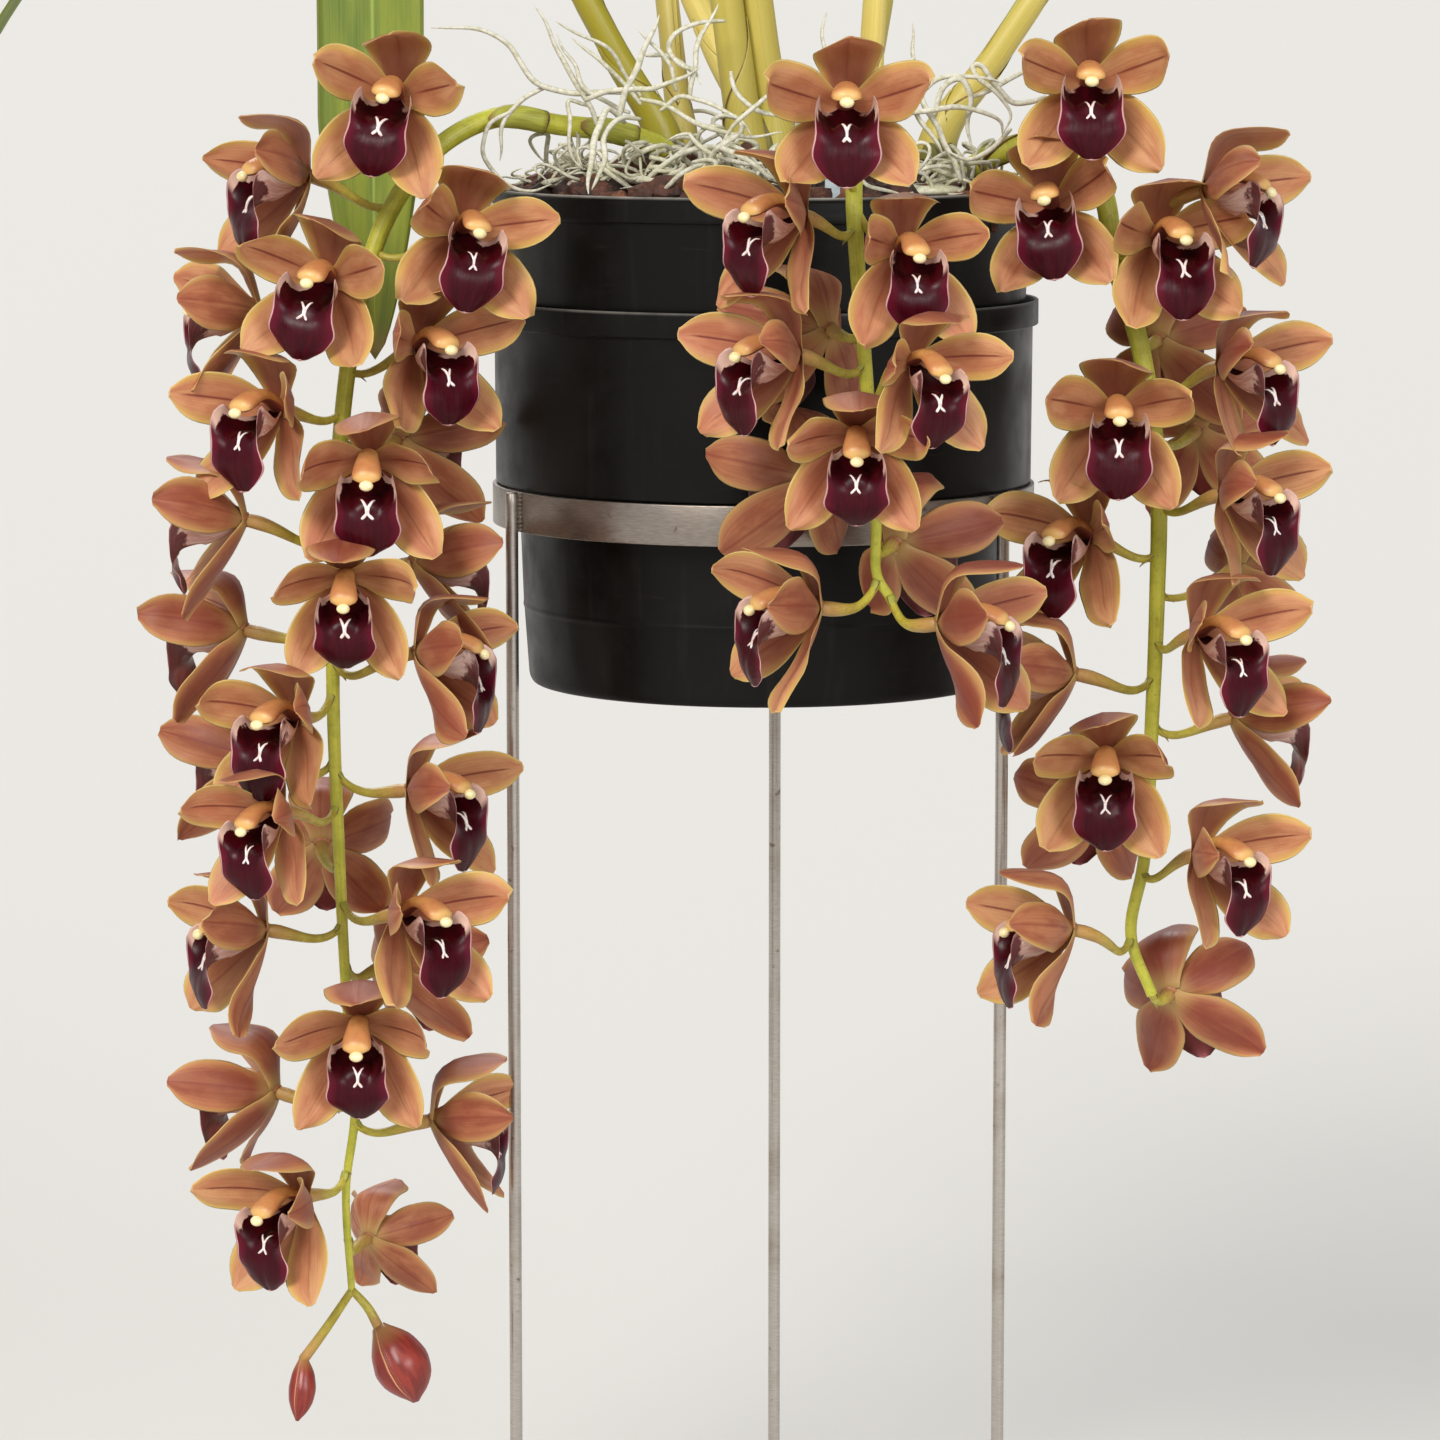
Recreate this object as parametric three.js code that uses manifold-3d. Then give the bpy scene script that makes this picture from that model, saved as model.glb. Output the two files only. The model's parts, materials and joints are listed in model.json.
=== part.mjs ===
// Potted cymbidium orchid: three hanging sprays of blooms and seven leafy growths, planted in
// bark in two nested nursery pots, which hang by their shoulder in a three-legged ring stand.
// Millimetres, +Z up, the stand's feet on the plane z = 0.
import * as THREE from 'three';
import { mergeVertices } from 'three/addons/utils/BufferGeometryUtils.js';
import Module from 'manifold-3d';

const wasm = await Module();
wasm.setup();

// Driving dimensions
const seatGap = 0.3;
const stemClearance = 2.6;
const stand = {
  ringTop: 600,
  ringHeight: 19,
  ringRadius: 131,
  ringThickness: 3,
  rodRadius: 3,
  rodAngles: { back: 87, left: 207, right: 327 },
};
const outerPot = {
  wall: 1.8,
  floorZ: 503.6,
  floorRadius: 112,
  waistRadius: 118.4,
  shoulderRadius: 129.3,
  collarHeight: 76.4,
  lipRadius: 132.5,
  lipHeight: 12,
};
const innerPot = {
  wall: 1.8,
  floorRadius: 104,
  mouthRadius: 126.4,
  neckRadius: 127.8,
  lipRadius: 130.5,
  rimZ: 741.7,
  lipHeight: 12,
};
const drain = { count: 6, radius: 5, circle: 78 };
const bark = { edgeZ: 735, crown: 21, socketZ: 733, chunks: 12, clearance: 1.3 };
const bloom = {
  thickness: 1.5,
  pedicelLength: 38,
  pedicelRadius: 2.2,
  ovaryRadius: 3.4,
};
const bulb = { radius: 10.5, height: 42 };
const leaf = { thickness: 2.2, width: 40, baseZ: 762, taper: 0.26, spacing: 3.5, baseFan: 2.5, fan: 9 };
const moss = { strandRadius: 1.6, strands: 4, rootRadius: 5, rootHeight: 9 };
const tag = { x: 31, y: -108, width: 7, thickness: 0.8, lowZ: 705, topZ: 751 };
const roundSteps = 28;
const ringSteps = 40;
const barkSteps = 22;

// The level view that the flower places below are given in: a lens in front of the pot's axis
const view = { distance: 2728, focal: 5600, side: -21, height: 847, centreX: 720, horizonY: -27 };

const colours = {
  steel: { color: 0x9c968d, roughness: 0.4, metalness: 0.9 },
  blackPlastic: { color: 0x171614, roughness: 0.5, metalness: 0 },
  bark: { color: 0x4a2c20, roughness: 0.9, metalness: 0 },
  leaf: { color: 0x6f9428, roughness: 0.45, metalness: 0 },
  tepal: { color: 0xc07a58, roughness: 0.55, metalness: 0 },
  moss: { color: 0xc9c8b0, roughness: 0.95, metalness: 0 },
  label: { color: 0xb9c6c9, roughness: 0.5, metalness: 0 },
};

const radians = THREE.MathUtils.degToRad;
const zAxis = new THREE.Vector3(0, 0, 1);

function vector(x, y, z) {
  return new THREE.Vector3(x, y, z);
}

// A point of the view at the depth y
function fromView(px, py, y) {
  const scale = (view.distance + y) / view.focal;
  const x = view.side + (px - view.centreX) * scale;
  return vector(x, y, view.height - (py - view.horizonY) * scale);
}

// A repeatable draw from 0 to 1
function seededDraw(seed) {
  let state = seed;
  return () => {
    state = (state * 1664525 + 1013904223) % 4294967296;
    return state / 4294967296;
  };
}

// Solids: geometry into a manifold, joins and cuts, and back
function solid(geometry) {
  const bare = geometry.clone();
  bare.deleteAttribute('normal');
  bare.deleteAttribute('uv');
  const merged = mergeVertices(bare, 1e-4);
  return new wasm.Manifold(new wasm.Mesh({
    numProp: 3,
    vertProperties: new Float32Array(merged.attributes.position.array),
    triVerts: new Uint32Array(merged.index.array),
  }));
}

function joined(solids) {
  return solids.reduce((whole, piece) => whole.add(piece));
}

function geometryOf(manifold) {
  const mesh = manifold.getMesh();
  const geometry = new THREE.BufferGeometry();
  geometry.setAttribute('position', new THREE.BufferAttribute(mesh.vertProperties, 3));
  geometry.setIndex(new THREE.BufferAttribute(mesh.triVerts, 1));
  return geometry;
}

// A solid from a list of points, three to a triangle
function solidOfTriangles(points) {
  return solid(new THREE.BufferGeometry().setFromPoints(points));
}

// The triangles of a flat-ended face, counter-clockwise seen from outside
function fan(ring) {
  return ring.slice(2).flatMap((point, k) => [ring[0], ring[k + 1], point]);
}

// The triangles between rings of points, each ring counter-clockwise seen from the far end. The
// last ring may be a single point. The second half of each ring is split the mirrored way, so
// that the two faces of a thin blade are split alike.
function skin(rings) {
  const triangles = [];
  rings.slice(1).forEach((far, i) => {
    const near = rings[i];
    near.forEach((point, k) => {
      const next = (k + 1) % near.length;
      if (far.length === 1) {
        triangles.push(point, near[next], far[0]);
      } else if (k < near.length / 2) {
        triangles.push(point, near[next], far[next], point, far[next], far[k]);
      } else {
        triangles.push(point, near[next], far[k], near[next], far[next], far[k]);
      }
    });
  });
  return triangles;
}

function loft(rings) {
  const root = fan([...rings[0]].reverse());
  return solidOfTriangles([...root, ...skin(rings), ...fan(rings.at(-1))]);
}

// A round tube along a curve, its radius given by a function of the way along
function taperedTube(curve, radiusAt, steps, sides) {
  const { normals, binormals } = curve.computeFrenetFrames(steps, false);
  const rings = normals.map((normal, i) => {
    const centre = curve.getPointAt(i / steps);
    return Array.from({ length: sides }, (_, k) => {
      const angle = (2 * Math.PI * k) / sides;
      return centre.clone()
        .addScaledVector(normal, radiusAt(i / steps) * Math.cos(angle))
        .addScaledVector(binormals[i], radiusAt(i / steps) * Math.sin(angle));
    });
  });
  return loft(rings);
}

// One ring of a blade: its two edges folded towards the normal, and its middle front and back
function bladeRing(centre, along, normal, halfWidth, fold, thickness) {
  const across = along.clone().cross(normal);
  const reach = halfWidth * Math.cos(fold);
  const lift = halfWidth * Math.sin(fold);
  const edge = (side) => (
    centre.clone().addScaledVector(across, side * reach).addScaledVector(normal, lift)
  );
  return [
    edge(-1),
    centre.clone().addScaledVector(normal, thickness / 2),
    edge(1),
    centre.clone().addScaledVector(normal, -thickness / 2),
  ];
}

// A lathe about the Z axis from a closed outline of [radius, z] points
function lathe(outline, segments = roundSteps) {
  const points = outline.map(([r, z]) => new THREE.Vector2(r, z));
  const geometry = new THREE.LatheGeometry(points, segments);
  return solid(geometry.rotateX(Math.PI / 2));
}

function rod(radius, height, sides = 12) {
  return solid(new THREE.CylinderGeometry(radius, radius, height, sides).rotateX(Math.PI / 2));
}

// Stand: a flat-bar ring with three round rods outside it
const standRing = (() => {
  const { ringTop, ringHeight, ringRadius, ringThickness } = stand;
  const inner = ringRadius - ringThickness;
  const low = ringTop - ringHeight;
  const outline = [[inner, low], [ringRadius, low], [ringRadius, ringTop], [inner, ringTop], [inner, low]];
  return lathe(outline, ringSteps);
})();

function standRod(angle) {
  const circle = stand.ringRadius + seatGap + stand.rodRadius;
  const x = circle * Math.cos(radians(angle));
  const y = circle * Math.sin(radians(angle));
  return rod(stand.rodRadius, stand.ringTop).translate(x, y, stand.ringTop / 2);
}

// Pots: thin walls with an outward lip, and drain holes through the floor
function drainHoles(turn) {
  return joined(Array.from({ length: drain.count }, (_, i) => {
    const angle = turn + (2 * Math.PI * i) / drain.count;
    return rod(drain.radius, 20, 6).translate(
      drain.circle * Math.cos(angle),
      drain.circle * Math.sin(angle),
      outerPot.floorZ + 4,
    );
  }));
}

const innerFloorZ = outerPot.floorZ + outerPot.wall + seatGap;
const outerRimZ = stand.ringTop + seatGap + outerPot.collarHeight + outerPot.lipHeight;

const outerPotSolid = (() => {
  const { wall, floorZ, floorRadius, waistRadius, shoulderRadius, lipRadius, lipHeight } = outerPot;
  const shoulderZ = stand.ringTop + seatGap;
  const lipZ = outerRimZ - lipHeight;
  const outside = [
    [0, floorZ],
    [floorRadius, floorZ],
    [floorRadius + 1.6, floorZ + 3],
    [waistRadius, shoulderZ],
    [shoulderRadius, shoulderZ],
    [shoulderRadius + 0.5, lipZ],
    [lipRadius, lipZ],
    [lipRadius, outerRimZ],
  ];
  const inside = [
    [lipRadius - wall, outerRimZ],
    [shoulderRadius - wall + 0.5, lipZ],
    [shoulderRadius - wall, shoulderZ + wall],
    [waistRadius - wall, shoulderZ + wall],
    [floorRadius - wall + 1.6, floorZ + 5],
    [floorRadius - wall, floorZ + wall],
    [0, floorZ + wall],
  ];
  return lathe([...outside, ...inside]).subtract(drainHoles(0));
})();

const innerPotSolid = (() => {
  const { wall, floorRadius, mouthRadius, neckRadius, lipRadius, rimZ, lipHeight } = innerPot;
  const lipZ = rimZ - lipHeight;
  const outside = [
    [0, innerFloorZ], [floorRadius, innerFloorZ], [mouthRadius, outerRimZ], [neckRadius, lipZ],
    [lipRadius, lipZ], [lipRadius, rimZ],
  ];
  const inside = [
    [lipRadius - wall, rimZ], [neckRadius - wall, lipZ], [mouthRadius - wall, outerRimZ],
    [floorRadius - wall, innerFloorZ + wall], [0, innerFloorZ + wall],
  ];
  return lathe([...outside, ...inside]).subtract(drainHoles(Math.PI / drain.count));
})();

// Growths: each an ovoid pseudobulb with a fan of strap leaves in the plane of its heading.
// The fan tilts towards its heading, its leaves part above its foot, and arch is how far they
// bend over.
const growths = {
  growth_left: { x: -48, y: 0, heading: 184, tilt: 29, arch: 1.2, length: 480 },
  growth_front: { x: -2, y: -24, heading: 214, tilt: 9, arch: 0.5, length: 550 },
  growth_front_right: { x: 49, y: -10, heading: 290, tilt: 9, arch: 0.6, length: 540 },
  growth_right: { x: 84, y: 2, heading: 2, tilt: 34, arch: 0.8, length: 520 },
  growth_back_right: { x: 46, y: 54, heading: 50, tilt: 16, arch: 0.95, length: 540 },
  growth_back_left: { x: -40, y: 66, heading: 112, tilt: 16, arch: 0.95, length: 540 },
  growth_centre: { x: -2, y: 34, heading: 158, tilt: 27, arch: 0.5, length: 560 },
};

// A leaf with a place of its own: it creases over and hangs beside the left spray
const creasedLeaf = {
  x: -54,
  y: 10,
  heading: 179,
  foot: 23,
  lean: 1.5,
  droop: 180,
  length: 754,
  width: 55,
  twist: -84,
  bend: [0.362, 0.518],
  steps: 11,
};

// A strap leaf: a spine that rises at the angle of its foot, leans out and bends over. The blade
// is folded along its keel at the base.
function strapLeaf(spec) {
  const { x, y, heading, foot, lean, droop, length, twist } = spec;
  const { width = leaf.width, bend = [0.1, 1], steps = 5 } = spec;
  const { smoothstep } = THREE.MathUtils;
  const h = radians(heading);
  const outward = vector(Math.cos(h), Math.sin(h), 0);
  const centre = vector(x, y, leaf.baseZ);
  const substeps = 4;
  const alongAt = (s) => {
    const parted = (lean - foot) * smoothstep(s, 0.1, 0.4);
    const angle = radians(foot + parted + (droop - lean) * smoothstep(s, bend[0], bend[1]));
    return outward.clone().multiplyScalar(Math.sin(angle)).addScaledVector(zAxis, Math.cos(angle));
  };
  const rings = [];
  for (let i = 0; i < steps; i += 1) {
    const s = i / steps;
    const along = alongAt(s);
    const normal = outward.clone().cross(zAxis).cross(along);
    normal.applyAxisAngle(along, radians(twist * smoothstep(s, 0.2, 0.7)));
    const half = (width / 2) * Math.min(0.4 + 1.4 * s, 1, ((1 - s) / leaf.taper) ** 0.6);
    const fold = radians(THREE.MathUtils.lerp(66, 14, smoothstep(s, 0, 0.4)));
    rings.push(bladeRing(centre, along, normal, half, fold, leaf.thickness * (1.5 - 0.7 * s)));
    for (let k = 0; k < substeps; k += 1) {
      centre.addScaledVector(alongAt(s + (k + 0.5) / (steps * substeps)), length / (steps * substeps));
    }
  }
  return loft([...rings, [centre]]);
}

function pseudobulb({ x, y }) {
  const { radius, height } = bulb;
  const outline = [[0, 0], [0.8, 0], [1, 0.38], [0.8, 0.74], [0.42, 1], [0, 1]];
  const points = outline.map(([r, z]) => [r * radius, bark.socketZ + seatGap + z * height]);
  return lathe(points, 8).translate(x, y, 0);
}

// The leaves of a growth stand in one plane, the outer ones leaning and bending further
function growthSolid(name, seed) {
  const { x, y, heading, tilt, arch, length } = growths[name];
  const draw = seededDraw(seed);
  const leaves = [-1.5, -0.5, 0.5, 1.5].map((k) => {
    const lean = tilt + leaf.fan * k;
    const side = Math.sign(lean);
    return strapLeaf({
      x: x + leaf.spacing * k * Math.cos(radians(heading)),
      y: y + leaf.spacing * k * Math.sin(radians(heading)),
      heading: heading + 12 * (draw() - 0.5),
      foot: tilt + leaf.baseFan * k,
      lean,
      droop: lean + side * arch * (60 + 20 * k * side + 8 * draw()),
      length: length - 16 * k * side + 30 * draw(),
      twist: 30 * (draw() - 0.5),
    });
  });
  const creased = name === 'growth_left' ? [strapLeaf(creasedLeaf)] : [];
  return joined([pseudobulb(growths[name]), ...leaves, ...creased]);
}

// Blooms, in the order right, up, facing. Sepals and petals by their turn from the top sepal,
// their angle to the facing direction at root and tip, length, width and the fold of the edges.
const tepals = [
  { turn: -138, rootAngle: 65, tipAngle: 38, length: 54, width: 29, fold: 16 },
  { turn: -78, rootAngle: 56, tipAngle: 22, length: 53, width: 27, fold: 12 },
  { turn: 0, rootAngle: 62, tipAngle: 2, length: 55, width: 29, fold: 26 },
  { turn: 78, rootAngle: 56, tipAngle: 22, length: 53, width: 27, fold: 12 },
  { turn: 138, rootAngle: 65, tipAngle: 38, length: 54, width: 29, fold: 16 },
];
const tepalStations = [
  { s: 0.38, width: 0.94 },
  { s: 0.8, width: 0.8 },
];
const hub = { radius: 4.5, depth: 1.5 };

function direction(turn) {
  return vector(Math.sin(radians(turn)), Math.cos(radians(turn)), 0);
}

// A tepal's spine bends evenly from its root angle to its tip angle
function spinePoint({ turn, rootAngle, tipAngle, length }, s) {
  const steps = 12;
  const away = direction(turn);
  const point = away.clone().multiplyScalar(hub.radius);
  for (let i = 0; i < steps; i += 1) {
    const bent = radians(rootAngle + ((tipAngle - rootAngle) * s * (i + 0.5)) / steps);
    point.addScaledVector(away, (Math.sin(bent) * length * s) / steps);
    point.z += (Math.cos(bent) * length * s) / steps;
  }
  const angle = radians(rootAngle + (tipAngle - rootAngle) * s);
  const along = away.clone().multiplyScalar(Math.sin(angle)).setZ(Math.cos(angle));
  const normal = away.clone().multiplyScalar(-Math.cos(angle)).setZ(Math.sin(angle));
  return { point, along, normal };
}

// The lip: a trough with raised side lobes under the column, then a hanging front lobe
const lipRows = [
  { up: -11, out: 21, half: 14, fold: 52 },
  { up: -21, out: 32, half: 14, fold: -8 },
  { up: -34, out: 31 },
];
const columnTip = { up: 0, out: 34, radius: 4 };

// Four points about a centre: right, up, left and down
function squareRing(centre, right, up, radius) {
  return [10, 90, 170, 270].map((angle) => centre.clone()
    .addScaledVector(right, radius * Math.cos(radians(angle)))
    .addScaledVector(up, radius * Math.sin(radians(angle))));
}

function tepalRings(tepal) {
  const rings = tepalStations.map(({ s, width }) => {
    const { point, along, normal } = spinePoint(tepal, s);
    return bladeRing(point, along, normal, (tepal.width * width) / 2, radians(tepal.fold), bloom.thickness);
  });
  return [...rings, [spinePoint(tepal, 1).point]];
}

function lipRings() {
  const points = lipRows.map(({ up, out }) => vector(0, up, out));
  const rings = lipRows.slice(0, -1).map(({ half, fold }, i) => {
    const along = points[i + 1].clone().sub(points[i - 1] ?? vector(0, 0, 0)).normalize();
    const normal = vector(0, along.z, -along.y);
    return bladeRing(points[i], along, normal, half, radians(fold), 2 * bloom.thickness);
  });
  return [...rings, [points.at(-1)]];
}

// A bloom's head as the triangles of one skin. The tepals, the lip and the column each grow
// from points of the hub that they share with their neighbours, and the back of the hub is left
// open at the four points where the pedicel ends.
const bloomHead = (() => {
  const corners = tepals.map(({ turn }, k) => {
    const next = tepals[(k + 1) % tepals.length].turn + (k === tepals.length - 1 ? 360 : 0);
    return direction((turn + next) / 2).multiplyScalar(hub.radius);
  });
  const middles = tepals.map(({ turn }) => direction(turn).multiplyScalar(hub.radius * 0.94));
  const front = middles.map((middle) => middle.clone().setZ(hub.depth));
  const back = middles.map((middle) => middle.clone().setZ(-hub.depth));
  const heart = vector(0, 0, hub.depth);
  const [lowLeft, upLeft, upRight, lowRight, bottom] = corners;
  const blades = tepals.flatMap((tepal, k) => (
    skin([[corners.at(k - 1), front[k], corners[k], back[k]], ...tepalRings(tepal)])
  ));
  const lip = skin([[lowRight, heart, lowLeft, bottom], ...lipRings()]);
  const tip = vector(0, columnTip.up, columnTip.out);
  const cap = squareRing(tip, vector(1, 0, 0), vector(0, 1, 0), columnTip.radius);
  const columnBase = [front[3], front[2], front[1], heart];
  const columnSkin = [...skin([columnBase, cap]), ...fan(cap)];
  const faceFill = [
    front[3], upRight, front[2], front[2], upLeft, front[1],
    heart, lowRight, front[3], heart, front[1], lowLeft,
    bottom, front[4], lowRight, lowLeft, front[0], bottom,
  ];
  const backFill = [
    back[2], upRight, back[3], back[1], upLeft, back[2],
    back[3], lowRight, back[4], back[3], back[4], bottom,
    bottom, back[0], back[1], back[0], lowLeft, back[1],
  ];
  return {
    triangles: [...blades, ...lip, ...columnSkin, ...faceFill, ...backFill],
    pedicelEnd: [back[3], back[2], back[1], bottom],
  };
})();

// Facing axes of a bloom: yaw to the right, pitch up, roll clockwise, all as the viewer sees it
function bloomAxes({ yaw, pitch = 0, roll = 0 }) {
  const y = radians(yaw);
  const p = radians(pitch);
  const r = radians(roll);
  const facing = vector(Math.sin(y) * Math.cos(p), -Math.cos(y) * Math.cos(p), Math.sin(p));
  const right = vector(Math.cos(y), Math.sin(y), 0);
  const up = facing.clone().cross(right);
  return {
    facing,
    up: up.clone().multiplyScalar(Math.cos(r)).addScaledVector(right, Math.sin(r)),
    right: right.clone().multiplyScalar(Math.cos(r)).addScaledVector(up, -Math.sin(r)),
  };
}

// Sprays: a stalk through points of the view, { x, y } with its depth from the pot's axis, and
// blooms by the point { x, y } of the view where their column ends. A bloom at the back stands
// behind the stalk and, like one marked byCentre, is placed by its centre.
const sprays = {
  spray_left: {
    radius: 5.4,
    tipRadius: 1.7,
    stalk: [
      { x: 690, y: 188, depth: -10 },
      { x: 668, y: 153, depth: -22 },
      { x: 620, y: 133, depth: -34 },
      { x: 560, y: 125, depth: -46 },
      { x: 500, y: 117, depth: -56 },
      { x: 440, y: 146, depth: -68 },
      { x: 388, y: 215, depth: -74 },
      { x: 358, y: 310, depth: -80 },
      { x: 343, y: 410, depth: -84 },
      { x: 335, y: 540, depth: -86 },
      { x: 333, y: 690, depth: -86 },
      { x: 339, y: 850, depth: -86 },
      { x: 346, y: 990, depth: -86 },
      { x: 355, y: 1110, depth: -86 },
      { x: 346, y: 1190, depth: -86 },
      { x: 352, y: 1295, depth: -86 },
    ],
    blooms: [
      { x: 382, y: 99, yaw: -8, roll: 10, nodeY: 165 },
      { x: 241, y: 177, yaw: -60, nodeY: 205 },
      { x: 306, y: 284, yaw: -15, roll: 8 },
      { x: 187, y: 312, yaw: -80, nodeY: 325 },
      { x: 480, y: 234, yaw: 18, roll: 10, nodeY: 250, reach: 48 },
      { x: 452, y: 351, yaw: 32, nodeY: 370 },
      { x: 234, y: 414, yaw: -35, nodeY: 412 },
      { x: 172, y: 520, yaw: -88, nodeY: 540, reach: 46 },
      { x: 366, y: 487, yaw: 0, pitch: -15 },
      { x: 398, y: 440, yaw: 150, back: true, reach: 30 },
      { x: 412, y: 563, yaw: 100, nodeY: 575, byCentre: true },
      { x: 343, y: 610, yaw: 0, pitch: -15 },
      { x: 245, y: 630, yaw: -110, nodeY: 620, back: true, reach: 46 },
      { x: 486, y: 655, yaw: 75, nodeY: 665, reach: 54 },
      { x: 256, y: 726, yaw: -30, nodeY: 695, reach: 34 },
      { x: 262, y: 760, yaw: -140, back: true, reach: 46 },
      { x: 240, y: 833, yaw: -33, nodeY: 808, reach: 54 },
      { x: 322, y: 845, yaw: 180, back: true, nodeY: 862 },
      { x: 471, y: 795, yaw: 60, nodeY: 775 },
      { x: 447, y: 923, yaw: 42, nodeY: 905, reach: 48 },
      { x: 385, y: 965, yaw: 140, back: true },
      { x: 197, y: 935, yaw: -74, nodeY: 925 },
      { x: 356, y: 1058, yaw: 0, pitch: -18 },
      { x: 277, y: 1092, yaw: -112, nodeY: 1100, back: true },
      { x: 503, y: 1122, yaw: 83, nodeY: 1120 },
      { x: 256, y: 1222, yaw: -37, pitch: -10, nodeY: 1175 },
      { x: 368, y: 1238, yaw: 150, back: true, size: 0.8 },
    ],
    buds: [
      {
        stalk: [{ x: 352, y: 1290 }, { x: 325, y: 1330 }, { x: 303, y: 1358 }],
        tip: { x: 297, y: 1420 },
        girth: 6.6,
      },
      {
        stalk: [{ x: 352, y: 1290 }, { x: 368, y: 1308 }, { x: 381, y: 1328 }],
        tip: { x: 412, y: 1400 },
        girth: 14,
      },
    ],
  },
  spray_middle: {
    radius: 5,
    tipRadius: 2.2,
    stalk: [
      { x: 845, y: 200, depth: -72 },
      { x: 850, y: 171, depth: -96 },
      { x: 854, y: 157, depth: -122 },
      { x: 856, y: 150, depth: -150 },
      { x: 855, y: 166, depth: -178 },
      { x: 854, y: 200, depth: -192 },
      { x: 857, y: 260, depth: -198 },
      { x: 868, y: 400, depth: -202 },
      { x: 876, y: 520, depth: -204 },
      { x: 877, y: 575, depth: -204 },
      { x: 889, y: 596, depth: -204 },
    ],
    blooms: [
      { x: 847, y: 103, yaw: 0, pitch: 5, nodeY: 190, reach: 56 },
      { x: 743, y: 218, yaw: -50, nodeY: 228 },
      { x: 920, y: 259, yaw: 14, pitch: -5, nodeY: 203 },
      { x: 734, y: 358, yaw: -56, nodeY: 365 },
      { x: 830, y: 330, yaw: -145, back: true, reach: 24 },
      { x: 946, y: 380, yaw: 32, nodeY: 395, reach: 46 },
      { x: 857, y: 463, yaw: 0, pitch: -18 },
      { x: 815, y: 478, yaw: -150, back: true, reach: 34 },
      { x: 894, y: 544, yaw: 150, back: true, reach: 24 },
      { x: 748, y: 611, yaw: -80, nodeY: 580 },
      { x: 1011, y: 627, yaw: 68, nodeY: 595 },
    ],
    buds: [],
  },
  spray_right: {
    radius: 5.6,
    tipRadius: 2.6,
    stalk: [
      { x: 936, y: 200, depth: -28 },
      { x: 972, y: 168, depth: -37 },
      { x: 1014, y: 148, depth: -44 },
      { x: 1060, y: 146, depth: -52 },
      { x: 1100, y: 186, depth: -62 },
      { x: 1115, y: 260, depth: -70 },
      { x: 1142, y: 355, depth: -78 },
      { x: 1158, y: 480, depth: -84 },
      { x: 1157, y: 600, depth: -88 },
      { x: 1152, y: 720, depth: -90 },
      { x: 1144, y: 860, depth: -90 },
      { x: 1131, y: 935, depth: -90 },
      { x: 1152, y: 995, depth: -90 },
    ],
    blooms: [
      { x: 1092, y: 82, yaw: 0, pitch: 5, nodeY: 170, reach: 52 },
      { x: 1044, y: 201, yaw: -10, roll: -8, nodeY: 176, reach: 52 },
      { x: 1187, y: 241, yaw: 20, nodeY: 250, reach: 40 },
      { x: 1272, y: 193, yaw: 62, roll: 12, nodeY: 235, reach: 64 },
      { x: 1157, y: 340, yaw: 160, back: true, reach: 24 },
      { x: 1281, y: 370, yaw: 50, nodeY: 400 },
      { x: 1120, y: 422, yaw: 0, pitch: -3 },
      { x: 1196, y: 430, yaw: 165, back: true, reach: 50 },
      { x: 1281, y: 499, yaw: 46, nodeY: 505 },
      { x: 1236, y: 566, yaw: 155, back: true, nodeY: 595, reach: 42, size: 0.8 },
      { x: 1048, y: 542, yaw: -38, nodeY: 552 },
      { x: 1247, y: 641, yaw: 38, nodeY: 641 },
      { x: 1232, y: 718, yaw: 98, nodeY: 726, back: true, reach: 42 },
      { x: 1074, y: 674, yaw: -80, nodeY: 678, byCentre: true, reach: 48 },
      { x: 1105, y: 781, yaw: -5, pitch: -10 },
      { x: 1100, y: 800, yaw: -165, back: true },
      { x: 1251, y: 863, yaw: 42, nodeY: 872 },
      { x: 1003, y: 933, yaw: -75, nodeY: 938, reach: 52 },
      { x: 1169, y: 994, yaw: 158, roll: 14, nodeY: 992, back: true, reach: 24 },
    ],
    buds: [],
  },
};

function stalkCurve({ stalk }) {
  const points = stalk.map(({ x, y, depth }) => fromView(x, y, depth));
  return new THREE.CatmullRomCurve3(points, false, 'centripetal');
}

// The stalk's point nearest to a height, on the part that hangs
function stalkAt(curve, z) {
  const samples = 240;
  const points = Array.from({ length: samples + 1 }, (_, i) => curve.getPointAt(i / samples));
  const top = points.reduce((best, p, i) => (p.z > points[best].z ? i : best), 0);
  const hanging = points.slice(top);
  return hanging.reduce((best, p) => (Math.abs(p.z - z) < Math.abs(best.z - z) ? p : best));
}

// Places a bloom: its depth follows from the length of its pedicel
function placeBloom(curve, place) {
  const { x, y, nodeY = y, back = false, byCentre = back, reach = bloom.pedicelLength, size = 1 } = place;
  const axes = bloomAxes(place);
  const lead = axes.facing.clone().multiplyScalar(byCentre ? 0 : columnTip.out * size);
  const node = stalkAt(curve, fromView(x, nodeY, curve.getPointAt(0.6).y).z);
  const centre = node.clone();
  for (let pass = 0; pass < 4; pass += 1) {
    centre.copy(fromView(x, y, centre.y + lead.y)).sub(lead);
    const span = Math.hypot(centre.x - node.x, centre.z - node.z);
    const forward = Math.sqrt(Math.max(reach * reach - span * span, 36));
    centre.y = node.y + (back ? forward : -forward);
  }
  return { node, centre, size, ...axes };
}

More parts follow.
